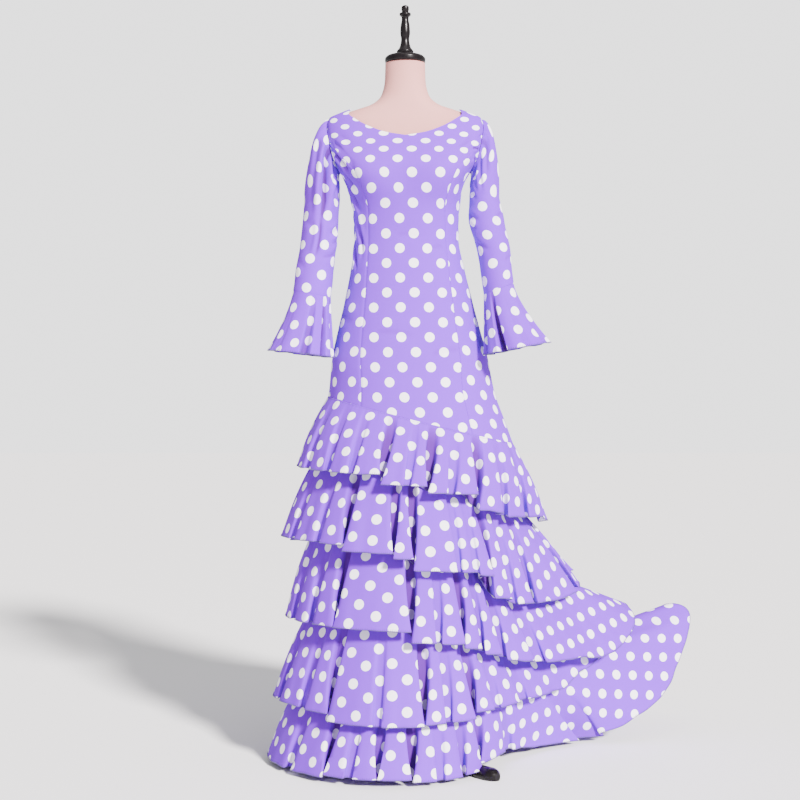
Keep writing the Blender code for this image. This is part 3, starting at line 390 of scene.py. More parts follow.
def makeJersey():
    make, noise, mix, finish = newMaterial("palePinkJersey")
    place = make("ShaderNodeTexCoord").outputs["Object"]
    colour = mix(noise(place, 9.0, 2.0), jerseyLook["deep"], jerseyLook["pale"])
    wales = make("ShaderNodeTexWave", {"Vector": place, "Scale": jerseyLook["wales"], "Distortion": 1.5})
    relief = make("ShaderNodeMath", {0: noise(place, 700.0, 2.0), 1: 0.7, 2: wales.outputs[1]},
                  operation="MULTIPLY_ADD")
    return finish(colour, relief.outputs[0], 0.35, 0.0002, {
        "Roughness": jerseyLook["rough"], "Sheen Weight": jerseyLook["sheen"], "Sheen Roughness": 0.5,
        "Specular IOR Level": jerseyLook["specular"]})


lacquerLook = {"deep": (0.0025, 0.002, 0.0025), "worn": (0.008, 0.006, 0.007), "smooth": 0.20, "rough": 0.36,
               "specular": 0.16, "coat": 0.03}


def makeLacquer():
    make, noise, mix, finish = newMaterial("blackLacqueredWood")
    place = make("ShaderNodeTexCoord").outputs["Object"]
    stretched = make("ShaderNodeMapping", {"Vector": place, "Scale": (260, 260, 22)}).outputs[0]
    grain = noise(stretched, 1.0, 4.0)
    wear = noise(place, 60.0, 3.0)
    rough = make("ShaderNodeMapRange", {0: wear, 3: lacquerLook["smooth"], 4: lacquerLook["rough"]}).outputs[0]
    return finish(mix(grain, lacquerLook["deep"], lacquerLook["worn"]), grain, 0.12, 0.0003, {
        "Roughness": rough, "Specular IOR Level": lacquerLook["specular"],
        "Coat Weight": lacquerLook["coat"], "Coat Roughness": 0.12})


crepe = makeCrepe()
thread = makeThread()
jersey = makeJersey()
lacquer = makeLacquer()
print("materials made")


def armholeLine(name, side, heights):
    return [(side * float(evenCurve(*seamLines[name], z)), z) for z in heights]


armholeSteps = 64
armholeHeights = [(bodice["underarm"] + bodice["shoulder"]) / 2
                  - (bodice["shoulder"] - bodice["underarm"]) / 2 * math.cos(math.pi * i / armholeSteps)
                  for i in range(armholeSteps + 1)]
lowHeights = armholeHeights[1:armholeSteps // 2 + 1]
highHeights = armholeHeights[armholeSteps // 2 + 1:]


def bodyHeights(turn):
    bottom = float(hipSeam(turn))
    return [bottom + (bodice["underarm"] - bottom) * i / 100 for i in range(101)]


def princessEdge(line, side):
    lowTurn = side * float(evenCurve(*seamLines[line], bodice["hipSeam"]))
    heights = bodyHeights(lowTurn) + lowHeights
    return [(side * float(evenCurve(*seamLines[line], z)), z) for z in heights]


def sideEdge(line, side):
    return [(side * 90.0, z) for z in bodyHeights(side * 90.0)] + armholeLine(line, side, lowHeights)


def neckEdge(side, neckline, endTurn):
    points = [(side * 90.0, bodice["shoulder"] + (bodice["neckPoint"] - bodice["shoulder"]) * i / 16)
              for i in range(17)]
    turns = np.linspace(90.0, endTurn, 49)[1:]
    return points + [(side * t, float(evenCurve(*necklines[neckline], t))) for t in turns]


def seamShares(width, step):  # columns across a panel, close together at its seams
    edge = np.array([0, 0.0007, 0.0015, 0.0024, 0.0035, 0.005, 0.0075]) / width
    middle = np.linspace(0.011 / width, 1 - 0.011 / width, max(int(width / step), 5))
    return np.concatenate([edge, middle, 1 - edge[::-1]])


def patchTurns(left, right, bottom, top, shares, narrow, crowded):
    left, right, bottom, top = (np.array(edge) for edge in (left, right, bottom, top))

    def along(edge):
        at = np.linspace(0, 1, len(edge))
        return np.stack([np.interp(shares, at, edge[:, k]) for k in (0, 1)], axis=-1)

    bottom = along(bottom)
    top = along(top)
    even = shares[None, :]
    rise = ((left[:, 1] - left[0, 1]) / (left[-1, 1] - left[0, 1]))[:, None]
    crowding = rise ** 8
    start = left[:, 0][:, None]
    end = right[:, 0][:, None]
    turns = start * (1 - even) + end * even
    if crowded:
        turns = (1 - crowding) * turns + crowding * top[:, 0][None, :]
    total = np.minimum(narrow, (end - start) * 0.8)
    turns = np.clip(turns, start + even * total, end - (1 - even) * total)
    level = bottom[:, 1][None, :] * (1 - rise) + top[:, 1][None, :] * rise
    heights = (level + (1 - even) * (left[:, 1][:, None] - level[:, :1])
               + even * (right[:, 1][:, None] - level[:, -1:]))
    return turns, heights


bodiceCreases = (  # from turn, height; to turn, height; width and depth in millimetres
    (-64, 1.402, -50, 1.340, 7, 4.2), (-74, 1.386, -54, 1.300, 7, 4.6), (-84, 1.364, -56, 1.254, 7, 5.0),
    (-88, 1.326, -58, 1.216, 7, 4.8), (-80, 1.280, -55, 1.176, 7, 4.2), (-66, 1.252, -52, 1.150, 6, 3.4),
    (-92, 1.262, -68, 1.160, 7, 3.8), (-88, 1.216, -60, 1.130, 7, 3.0),
    (-76, 1.180, -58, 1.120, 6, 1.5), (-98, 1.330, -112, 1.262, 7, 2.4), (-104, 1.300, -120, 1.226, 7, 2.2),
    (-112, 1.262, -98, 1.200, 7, 1.8), (-60, 1.420, -50, 1.398, 7, 2.0), (-52, 1.440, -40, 1.405, 8, 1.4),
    (54, 1.406, 70, 1.402, 4, 5.0), (62, 1.388, 72, 1.372, 5, 3.0), (80, 1.366, 66, 1.318, 6, 1.8),
    (86, 1.340, 70, 1.268, 7, 1.8), (92, 1.300, 72, 1.226, 6, 1.6), (84, 1.246, 62, 1.184, 7, 1.5),
    (98, 1.330, 114, 1.262, 7, 2.4), (106, 1.292, 122, 1.220, 7, 2.2), (50, 1.436, 38, 1.404, 8, 1.2),
    (150, 1.236, 196, 1.228, 9, 2.0), (160, 1.206, 208, 1.214, 9, 2.2), (146, 1.180, 186, 1.172, 10, 2.0),
    (172, 1.262, 214, 1.252, 9, 1.6), (118, 1.408, 132, 1.372, 8, 2.0), (242, 1.408, 228, 1.372, 8, 2.0),
    (122, 1.372, 138, 1.326, 9, 1.6), (238, 1.366, 222, 1.320, 9, 1.7), (128, 0.985, 168, 0.962, 12, 1.6),
    (-30, 0.985, 8, 0.970, 14, 0.9), (12, 0.930, 44, 0.944, 14, 0.9), (192, 0.972, 234, 0.990, 12, 1.6),
    (-16, 1.205, 20, 1.198, 12, 0.8), (20, 1.168, 44, 1.180, 11, 0.9), (-46, 1.010, -84, 1.040, 12, 1.2),
)


def creaseField(turns, heights, strokes, radius):
    field = np.zeros(turns.shape)
    for turnA, heightA, turnB, heightB, width, depth in strokes:
        middle = (turnA + turnB) / 2
        u = awayFrom(turns, middle) * radius
        v = heights
        ua = (turnA - middle) * radius
        ub = (turnB - middle) * radius
        du, dv = ub - ua, heightB - heightA
        length = math.hypot(du, dv)
        t = ((u - ua) * du + (v - heightA) * dv) / length ** 2
        bend = min(0.10 * length, bodice["creaseBend"]) * np.sin(np.pi * np.clip(t, 0, 1))
        side = ((u - ua) * dv - (v - heightA) * du) / length + bend
        ends = np.clip(t * 4, 0, 1) * np.clip((1 - t) * 3, 0, 1)
        ends = ends * ends * (3 - 2 * ends)
        w = width / 1000
        profile = (-np.exp(-(side / w) ** 2) + 0.75 * np.exp(-((side - 1.7 * w) / (1.1 * w)) ** 2)
                   + 0.35 * np.exp(-((side + 1.9 * w) / (1.3 * w)) ** 2)
                   + 0.35 * np.exp(-(side / (3.0 * w)) ** 2))
        field += depth / 1000 * ends * profile
    return field


def unevenWave(along, wavelengths, seed):  # sum of sines that never repeats evenly, about 1 high
    chance = random.Random(seed)
    total = np.zeros(np.shape(along))
    for wavelength in wavelengths:
        total += (np.sin(2 * math.pi * np.asarray(along) / wavelength + chance.uniform(0, 6.28))
                  * chance.uniform(0.6, 1.0))
    return total / len(wavelengths)


cutPieces = {}  # name: (width, length, area)


def noteCut(name, grid, closed, width, length):
    area = gridArea(grid, closed)
    cutPieces[name] = (max(width, area / length), length, area)


def makePanel(name, left, right, bottom, top, narrow, patternAt, seed):
    bottomWidth = abs(bottom[-1][0] - bottom[0][0]) * bodice["hipPerTurn"]
    shares = seamShares(bottomWidth, bodice["columnStep"])
    turns, heights = patchTurns(left, right, bottom, top, shares, narrow, name.startswith("centre"))
    grid = bodyPoint(turns, heights)
    normals = bodyNormal(turns, heights)
    level = np.hypot(np.diff(grid[..., 0], axis=1), np.diff(grid[..., 1], axis=1))
    across = np.concatenate([np.zeros((len(grid), 1)), np.cumsum(level, axis=1)], axis=1)
    width = across[:, -1:]
    middleTurn, middleHeight, u0, v0 = patternAt
    ladder = np.linspace(0.62, 1.51, 400)
    spine = bodyPoint(np.full(400, middleTurn), ladder)
    climb = runAlong(spine)
    chart = climb
    if "Front" in name:
        above = np.clip(ladder - bodice["closeRowsFrom"], 0, None)
        ease = bodice["closeEase"]
        chart = climb + bodice["closeRows"] * (above - ease * (1 - np.exp(-above / ease)))
    v = np.interp(heights, ladder, chart) - np.interp(middleHeight, ladder, chart) + v0
    centre = np.array([np.interp(0.5, shares, row) for row in across])[:, None]
    u = across - centre + u0
    fromSeam = np.minimum(across, width - across)
    dip = -bodice["seamDip"] * np.exp(-(fromSeam / bodice["seamDipWidth"]) ** 2)
    run = np.interp(heights, ladder, climb)
    pucker = bodice["pucker"] * unevenWave(run, (0.011, 0.017, 0.026), seed)
    pucker = pucker * np.exp(-fromSeam / bodice["puckerFade"])
    creases = creaseField(turns, heights, bodiceCreases, bodice["perTurn"])
    sag = bodice["sag"] * unevenWave(run + 0.7 * u, (0.11, 0.17, 0.29), seed + 5)
    sag = sag * np.clip(fromSeam / bodice["sagFade"], 0, 1)
    grid = grid + normals * (dip + pucker + creases + sag)[..., None]
    for edge, neighbour in ((0, 1), (-1, -2)):
        step = grid[:, neighbour] - grid[:, edge]
        grid[:, edge] += bodice["seamGap"] * step / np.linalg.norm(step, axis=-1, keepdims=True)
    for edge, neighbour in ((0, 1), (-1, -2)):
        step = grid[neighbour] - grid[edge]
        grid[edge] += bodice["seamGap"] * step / np.linalg.norm(step, axis=-1, keepdims=True)
    # painted shade in the creases: the deeper the crease, the darker the cloth's colour
    piece = clothShell(name, grid, np.stack([u, v], axis=-1), bodice["wall"], crepe, False, normals=normals,
                       paintedCreaseShade=-creases / bodice["fullShadeDepth"] - bodice["shadeFreeShare"])
    noteCut(name, grid, False, float(np.max(u) - np.min(u)), float(run.max() - run.min()))
    return piece


bodicePieces = {}
front = neckEdge(-1, "front", 0.0)
front = front + [(-turn, z) for turn, z in reversed(front[:-1])]
frontLeft = princessEdge("frontSeam", -1) + armholeLine("armholeFront", -1, highHeights)
frontRight = princessEdge("frontSeam", 1) + armholeLine("armholeFront", 1, highHeights)


def bottomEdge(start, end):
    return [(turn, float(hipSeam(turn))) for turn in np.linspace(start, end, 41)]


bodicePieces["centre_front"] = makePanel(
    "centreFrontPanel", frontLeft, frontRight, bottomEdge(frontLeft[0][0], frontRight[0][0]), front,
    20.8, (0.0, 1.3434, -0.0146, 0.0), 11)
for side, word in ((-1, "Left"), (1, "Right")):
    for part, line, princess, seed in (("Front", "armholeFront", "frontSeam", 21),
                                       ("Back", "armholeBack", "backSeam", 31)):
        edges = [princessEdge(princess, side), sideEdge(line, side)]
        if (part == "Front") == (side < 0):
            edges.reverse()
        first, last = edges
        topEdge = [(first[-1][0] * (1 - s) + last[-1][0] * s, first[-1][1]) for s in np.linspace(0, 1, 9)]
        node = ("side_" + part + "_" + word).lower()
        bodicePieces[node] = makePanel(
            "side" + part + word + "Panel", first, last, bottomEdge(first[0][0], last[0][0]), topEdge,
            6.5, (side * (66.0 if part == "Front" else 114.0), 1.2, 0.021 * side, 0.011 * seed), seed + side)
    inner = princessEdge("backSeam", side) + armholeLine("armholeBack", side, highHeights)
    rise = [(z - inner[0][1]) / (inner[-1][1] - inner[0][1]) for _, z in inner]
    low = float(hipSeam(180.0))
    outer = [(side * 180.0, low + share * (necklines["back"][1][-1] - low)) for share in rise]
    backTop = neckEdge(side, "back", 180.0)
    backBottom = bottomEdge(inner[0][0], side * 180.0)
    if side > 0:
        edges = (inner, outer, backBottom, backTop)
    else:
        edges = (outer, inner, backBottom[::-1], backTop[::-1])
    bodicePieces["centre_back_" + word.lower()] = makePanel(
        "centreBack" + word + "Panel", *edges, 10.4, (side * 160.0, 1.2, 0.009 * side, 0.004), 41 + side)
for node, piece in bodicePieces.items():
    declare(piece, (node,))
print("bodice", len(bodicePieces), "panels")

sleeve = {  # phase 0 is the outer side, 90 the front, 180 the side by the body
    "columns": 132, "capRows": 34, "armRows": 62, "wall": 0.0011, "capOut": 0.024, "fullShadeDepth": 0.0018,
    "frontColumn": 99, "perPhase": 0.00082, "pucker": 0.0009, "puckerFade": 0.016, "roll": 0.0012,
    "rollWidth": 0.0028, "hem": 0.0006, "hemWidth": 0.003, "soft": 0.0016, "softFade": 0.05, "settle": 0.02,
    "dotShift": {"left": (0.012, 0.004), "right": (-0.010, 0.019)},
}
sleeveRings = {  # height, centre out from the axis, centre y, half width, half depth, tilt
    "left": ((1.286, 0.1928, -0.002, 0.0410, 0.052, 0.000), (1.210, 0.1995, -0.014, 0.0415, 0.048, 0.001),
             (1.150, 0.2055, -0.026, 0.0425, 0.046, 0.004), (1.0725, 0.2145, -0.040, 0.0435, 0.044, 0.0075)),
    "right": ((1.300, 0.1843, -0.004, 0.0345, 0.052, 0.000), (1.244, 0.1880, -0.016, 0.0405, 0.050, 0.001),
              (1.172, 0.2040, -0.042, 0.0370, 0.045, 0.005), (1.0825, 0.2132, -0.066, 0.0342, 0.042, 0.0125)),
}
sleeveCreases = {  # phase, height; to phase, height; width and depth in millimetres
    "left": (
        (97, 1.500, 95, 1.225, 9, 15), (93, 1.250, 88, 1.150, 6, 4.0), (116, 1.392, 128, 1.322, 7, 5.0),
        (58, 1.440, 70, 1.330, 9, 2.4), (128, 1.400, 118, 1.300, 7, 2.8), (150, 1.360, 128, 1.290, 6, 2.6),
        (196, 1.352, 232, 1.280, 7, 2.6), (176, 1.235, 120, 1.212, 7, 2.4),
        (182, 1.206, 132, 1.190, 6, 2.2), (170, 1.172, 96, 1.158, 7, 1.8),
        (250, 1.430, 262, 1.220, 9, 2.8), (300, 1.300, 250, 1.240, 9, 2.0),
        (228, 1.215, 290, 1.196, 8, 2.2), (30, 1.245, 76, 1.222, 9, 1.4), (20, 1.150, 66, 1.128, 9, 1.2),
        (330, 1.180, 276, 1.150, 9, 1.6)),
    "right": (
        (112, 1.412, 104, 1.300, 6, 2.8), (140, 1.372, 120, 1.300, 6, 2.6), (76, 1.452, 84, 1.330, 9, 2.2),
        (158, 1.342, 122, 1.286, 6, 2.2), (196, 1.352, 236, 1.288, 7, 2.6),
        (168, 1.262, 112, 1.244, 7, 2.4), (178, 1.232, 126, 1.226, 6, 2.0),
        (166, 1.196, 104, 1.176, 7, 1.8), (250, 1.430, 268, 1.236, 9, 2.8),
        (296, 1.322, 246, 1.250, 9, 2.0), (226, 1.230, 292, 1.206, 8, 2.2), (24, 1.262, 72, 1.238, 9, 1.4),
        (16, 1.160, 64, 1.142, 9, 1.2), (336, 1.196, 282, 1.160, 9, 1.6)),
}


def armholeLoop(side, phases):
    middle = (bodice["underarm"] + bodice["shoulder"]) / 2
    half = (bodice["shoulder"] - bodice["underarm"]) / 2
    heights = middle + half * np.cos(np.radians(phases))
    onFront = np.mod(phases, 360) <= 180
    turns = np.where(onFront, evenCurve(*seamLines["armholeFront"], heights),
                     evenCurve(*seamLines["armholeBack"], heights))
    points = bodyPoint(side * turns, heights)
    inward = points.mean(axis=0) - points
    inward[:, 0] = 0
    inward /= np.linalg.norm(inward, axis=-1, keepdims=True)
    return points + inward * bodice["armholeInset"]


def ringPoints(ring, side, phases):
    radians = np.radians(phases)
    height, out, y, halfWidth, halfDepth, tilt = ring
    return np.stack([side * (out + halfWidth * np.cos(radians)), y - halfDepth * np.sin(radians),
                     height + tilt * np.cos(radians)], axis=-1)


def makeSleeve(word, side):
    phases = 180 + np.arange(sleeve["columns"]) * 360 / sleeve["columns"]
    rings = sleeveRings[word]
    start = armholeLoop(side, phases)
    end = ringPoints(rings[0], side, phases)
    lift = (1 + np.cos(np.radians(phases)))[:, None] / 2
    handleA = start + np.array([side, 0, -0.12]) * (0.006 + sleeve["capOut"] * lift)
    handleB = end + np.array([0, 0, 1.0]) * (0.025 + 0.075 * lift)
    rows = []
    for t in np.linspace(0, 1, sleeve["capRows"]):
        rows.append((1 - t) ** 3 * start + 3 * t * (1 - t) ** 2 * handleA
                    + 3 * t * t * (1 - t) * handleB + t ** 3 * end)
    heights = [ring[0] for ring in rings][::-1]
    for height in np.linspace(rings[0][0], rings[-1][0], sleeve["armRows"])[1:]:
        ring = [height] + [float(evenCurve(heights, [r[k] for r in rings][::-1], height)) for k in range(1, 6)]
        rows.append(ringPoints(ring, side, phases))
    grid = np.array(rows)
    normals = gridNormals(grid, True) * side
    front = sleeve["frontColumn"]
    along = runAlong(grid[:, front])[:, None]
    spread = np.tile(phases[None, :], (len(grid), 1))
    creases = creaseField(spread, grid[..., 2], sleeveCreases[word], sleeve["perPhase"])
    pucker = sleeve["pucker"] * unevenWave(spread * 0.82, (9.0, 13.0, 21.0), 5 + side)
    pucker = pucker * np.exp(-along / sleeve["puckerFade"])
    roll = -sleeve["roll"] * np.exp(-(along / sleeve["rollWidth"]) ** 2)
    hem = -sleeve["hem"] * np.exp(-((along - along[-1]) / sleeve["hemWidth"]) ** 2)
    soft = sleeve["soft"] * unevenWave(along + spread * 0.0004, (0.09, 0.14, 0.23), 9 + side)
    soft = soft * np.clip(along / sleeve["softFade"], 0, 1)
    settle = np.clip(along / sleeve["settle"], 0, 1) * np.clip((along[-1] - along) / sleeve["settle"], 0, 1)
    grid = grid + normals * (pucker + roll + hem + (creases + soft) * settle)[..., None]
    ring = np.linalg.norm(np.roll(grid, -1, axis=1) - grid, axis=-1)
    u = np.concatenate([np.zeros((len(grid), 1)), np.cumsum(ring, axis=1)], axis=1)
    u = u - u[:, front:front + 1]
    v = np.tile(-along, (1, u.shape[1]))
    shift = sleeve["dotShift"][word]
    # painted shade in the creases: the deeper the crease, the darker the cloth's colour
    piece = clothShell("sleeve" + word.title() + "Cloth", grid, np.stack([u + shift[0], v + shift[1]], axis=-1),
                       sleeve["wall"], crepe, True, flip=side < 0, normals=normals,
                       paintedCreaseShade=-creases / sleeve["fullShadeDepth"] - bodice["shadeFreeShare"])
    noteCut(piece.name, grid, True, float(u.max() - u.min()), float(along[-1, 0]))
    declare(piece, ("sleeve_" + word,))
    return piece


sleevePieces = {word: makeSleeve(word, side) for word, side in (("left", -1), ("right", 1))}
print("sleeves")

flounce = {  # circular cut, with folds that open from the seam to the hem
    "columns": 700, "fineColumns": 5000, "rows": 22, "wall": 0.0010, "swell": 0.008, "fullShadeDepth": 0.030,
    "deepFold": 0.042, "foldContrast": 0.9, "foldRoom": 0.86, "floorShare": 0.3, "mouth": 0.85,
    "stepFold": 0.034, "stepWidth": 0.4, "level": 0.75, "levelLimit": 0.016, "lift": 0.0016,
    "trainTurn": 104, "trainHalf": 26, "trainFade": 8, "dotShift": 0.06,
    "ripple": 0.0022, "hemFlip": 0.0016, "hemFlipHeight": 0.009, "gather": 0.0007, "gatherFade": 0.020,
}
def inMetres(*rows):  # each row a turn, then places in millimetres
    table = np.array(rows, dtype=float)
    table[:, 1:] /= 1000
    return table


firstHem = inMetres(
    (0, 0, -250, 645), (25, 110, -225, 625), (45, 195, -170, 600), (60, 250, -110, 580),
    (72, 290, -50, 565), (84, 325, 20, 550), (94, 338, 70, 543), (102, 335, 110, 545),
    (110, 320, 150, 550), (120, 285, 190, 565), (135, 225, 225, 585), (155, 125, 245, 610),
    (180, 0, 250, 630), (215, -140, 205, 660), (250, -225, 85, 690), (285, -245, -55, 690),
    (320, -160, -195, 665))
flounceLoops = {  # turn; seam x, y, z; hem x, y, z
    2: inMetres(
        (0, 0, -185, 680, 0, -265, 487), (25, 85, -165, 660, 115, -235, 455),
        (45, 150, -120, 640, 205, -175, 415), (60, 200, -70, 620, 275, -105, 380),
        (72, 230, -20, 605, 330, -40, 368), (84, 250, 30, 590, 385, 30, 372),
        (94, 260, 70, 585, 415, 90, 383), (102, 260, 100, 585, 420, 140, 390),
        (110, 250, 125, 590, 405, 185, 408), (120, 225, 150, 600, 370, 235, 428),
        (135, 175, 175, 625, 285, 270, 445), (155, 100, 185, 648, 155, 280, 460),
        (180, 0, 180, 665, 0, 275, 470), (215, -110, 140, 695, -140, 220, 500),
        (250, -180, 60, 720, -250, 85, 515), (285, -190, -45, 720, -280, -60, 520),
        (320, -120, -145, 700, -170, -210, 510)),
    3: inMetres(
        (0, 0, -195, 520, 0, -270, 325), (25, 90, -170, 495, 110, -238, 290),
        (45, 155, -120, 460, 205, -175, 250), (60, 210, -60, 425, 295, -100, 222),
        (72, 250, 0, 415, 380, -20, 215), (84, 285, 50, 415, 455, 60, 217),
        (94, 310, 90, 420, 515, 125, 236), (102, 325, 120, 425, 562, 195, 278),
        (110, 325, 150, 412, 555, 265, 318), (120, 300, 185, 410, 490, 345, 320),
        (135, 235, 215, 430, 360, 370, 285), (155, 130, 215, 470, 190, 350, 285),
        (180, 5, 195, 505, 10, 295, 300), (215, -110, 150, 530, -130, 228, 315),
        (250, -187, 60, 548, -238, 90, 328), (285, -200, -45, 550, -272, -55, 335),
        (320, -127, -150, 540, -170, -208, 335)),
    4: inMetres(
        (0, 0, -205, 358, 0, -285, 130), (25, 95, -178, 325, 120, -240, 135),
        (45, 165, -125, 288, 210, -170, 145), (60, 225, -55, 262, 280, -85, 150),
        (72, 285, 10, 255, 345, 0, 158), (84, 335, 70, 262, 405, 70, 180),
        (94, 370, 115, 280, 465, 125, 208), (102, 395, 155, 305, 505, 182, 246),
        (110, 400, 200, 325, 505, 245, 278), (120, 365, 250, 325, 455, 322, 272),
        (135, 280, 280, 315, 350, 365, 205), (155, 150, 275, 318, 190, 380, 165),
        (180, 10, 235, 330, 10, 330, 150), (215, -115, 175, 345, -150, 245, 145),
        (250, -195, 68, 358, -265, 95, 150), (285, -208, -50, 365, -298, -60, 155),
        (320, -132, -160, 365, -182, -218, 135)),
    5: inMetres(
        (0, 0, -212, 180, 0, -292, 18), (25, 103, -182, 178, 125, -238, 20),
        (42, 172, -128, 182, 195, -155, 50), (60, 240, -45, 180, 285, 15, 36),
        (72, 305, 35, 180, 400, 105, 18), (84, 372, 95, 188, 540, 158, 50),
        (94, 430, 140, 203, 652, 225, 124), (102, 465, 185, 232, 716, 283, 285),
        (110, 465, 235, 258, 662, 315, 313), (120, 420, 295, 250, 600, 430, 215),
        (135, 320, 330, 212, 450, 490, 60), (155, 170, 320, 195, 235, 460, 16),
        (180, 10, 268, 195, 20, 380, 16), (215, -130, 196, 195, -168, 270, 16),
        (250, -212, 75, 198, -288, 105, 20), (285, -225, -52, 200, -312, -60, 14),
        (320, -142, -168, 188, -198, -232, 20)),
}
shownFolds = {  # turn, half width, depth
    1: ((-62.0, 5.0, 0.020), (-45.0, 5.0, 0.024), (-29.0, 4.5, 0.024), (-13.0, 4.5, 0.040), (1.0, 3.5, 0.022),
        (11.0, 4.5, 0.042), (23.0, 4.5, 0.024), (37.0, 4.5, 0.042), (53.0, 5.0, 0.028), (69.0, 5.0, 0.028)),
    2: ((-64.0, 5.0, 0.022), (-47.0, 4.0, 0.022), (-32.0, 4.5, 0.042), (-6.0, 4.0, 0.040), (4.0, 4.0, 0.044),
        (26.0, 3.3, 0.022), (34.5, 3.3, 0.022), (43.5, 4.0, 0.040), (54.0, 4.0, 0.024), (65.0, 4.5, 0.030)),
    3: ((-66.0, 5.0, 0.024), (-52.0, 5.0, 0.026), (-37.0, 4.5, 0.044), (3.0, 4.5, 0.044), (17.0, 4.0, 0.026),
        (30.0, 4.0, 0.042), (39.0, 3.5, 0.030), (48.0, 4.0, 0.028), (62.0, 5.0, 0.024)),
    4: ((-70.0, 5.0, 0.026), (-52.0, 5.0, 0.024), (-38.0, 4.5, 0.042), (-13.0, 4.0, 0.020), (9.0, 4.5, 0.042),
        (20.0, 4.0, 0.026), (33.0, 4.5, 0.038), (44.0, 4.0, 0.022), (58.0, 5.0, 0.022)),
    5: ((-56.0, 5.0, 0.024), (-36.0, 4.5, 0.042), (-24.0, 4.0, 0.024), (-12.0, 4.0, 0.036), (3.0, 4.5, 0.042),
        (15.0, 4.0, 0.022), (26.0, 4.0, 0.030), (36.0, 4.0, 0.036), (52.0, 5.0, 0.022), (76.0, 6.0, 0.026)),
}
hiddenFolds = {1: (88.0, 285.0, 17.0, 0.030), 2: (84.0, 283.0, 17.0, 0.032), 3: (128.0, 282.0, 17.0, 0.032),
               4: (136.0, 276.0, 17.0, 0.030), 5: (138.0, 262.0, 16.0, 0.030)}  # first, last, spacing, depth
cuff = {"columns": 300, "fineColumns": 3000, "rows": 17, "ripple": 0.0018, "hemFlip": 0.0012,
        "hemFlipHeight": 0.008, "seamDrop": 0.0004, "fullShadeDepth": 0.022}
cuffHems = {"left": (0.936, 0.2390, -0.052, 0.0750, 0.080, 0.008),
            "right": (0.947, 0.2540, -0.084, 0.0750, 0.076, 0.014)}
cuffFolds = {  # phase, half width, depth
    "left": (
        (40.0, 14.0, 0.004), (100.0, 11.0, 0.020), (136.0, 8.0, 0.032), (166.0, 9.0, 0.026),
        (205.0, 14.0, 0.018), (252.0, 15.0, 0.022), (300.0, 14.0, 0.018), (340.0, 12.0, 0.012)),
    "right": (
        (30.0, 14.0, 0.004), (76.0, 12.0, 0.003), (121.0, 10.0, 0.030), (164.0, 10.0, 0.022),
        (200.0, 14.0, 0.016), (246.0, 15.0, 0.022), (292.0, 14.0, 0.020), (335.0, 12.0, 0.014)),
}


def foldDepth(folds, turns):
    depth = np.zeros(len(turns))
    for middle, halfWidth, deep in folds:
        away = np.abs(awayFrom(turns, middle)) / halfWidth
        share = np.clip((1 - away) / (1 - flounce["floorShare"]), 0, 1)
        depth = np.maximum(depth, deep * share * share * (3 - 2 * share))
    return depth


def flounceFolds(number):
    first, last, spacing, depth = hiddenFolds[number]
    chance = random.Random(7 + number)
    folds = []
    for middle, halfWidth, deep in shownFolds[number]:
        strength = (deep / flounce["deepFold"]) ** flounce["foldContrast"]
        folds.append((middle, halfWidth * (0.8 + 0.2 * strength), deep * strength))
    turn = first + spacing / 2
    while turn < last:
        folds.append((turn + chance.uniform(-2.5, 2.5), chance.uniform(4.5, 6.0),
                      depth * chance.uniform(0.7, 1.15)))
        turn += spacing * chance.uniform(0.9, 1.1)
    return folds


def seamLoop(number, turns):
    if number == 1:
        return bodyPoint(turns, hipSeam(turns) - 0.0004)
    return loopCurve(flounceLoops[number], (1, 2, 3), turns)


def hemLoop(number, turns):
    if number == 1:
        return loopCurve(firstHem, (1, 2, 3), turns)
    return loopCurve(flounceLoops[number], (4, 5, 6), turns)


def roomBelow(number, turns):
    if number == 5:
        return np.full(len(turns), 1.0)
    hem = hemLoop(number, turns)
    seam = seamLoop(number + 1, turns)
    end = hemLoop(number + 1, turns)
    share = np.clip((seam[:, 2] - hem[:, 2]) / (seam[:, 2] - end[:, 2]), 0, 1)[:, None]
    return np.hypot(*(hem - seam * (1 - share) - end * share)[:, :2].T)


def outwardOf(number, turns):
    along = hemLoop(number, turns + 1) - hemLoop(number, turns - 1)
    outward = np.stack([along[:, 1], -along[:, 0], np.zeros(len(turns))], axis=-1)
    return outward / np.linalg.norm(outward, axis=-1, keepdims=True)


def spreadColumns(turnsFine, hemFine, columns):  # even along the folded hem, so that folds get their share
    loop = np.concatenate([hemFine, hemFine[:1]])
    length = runAlong(loop)
    turns = np.concatenate([turnsFine, [turnsFine[0] + 360]])
    return np.interp(np.arange(columns) / columns * length[-1], length, turns)


def lobeFolds(folds, turns, width):  # sideways shift that narrows each fold's mouth and widens its floor
    shift = np.zeros(len(turns))
    for middle, halfWidth, deep in folds:
        offset = awayFrom(turns, middle)
        away = np.abs(offset) / halfWidth
        profile = np.exp(-((away - 0.9) / 0.25) ** 2) - 0.5 * np.exp(-((away - 0.35) / 0.2) ** 2)
        shift -= np.sign(offset) * profile * halfWidth * width * min(deep / 0.030, 1.0)
    return shift


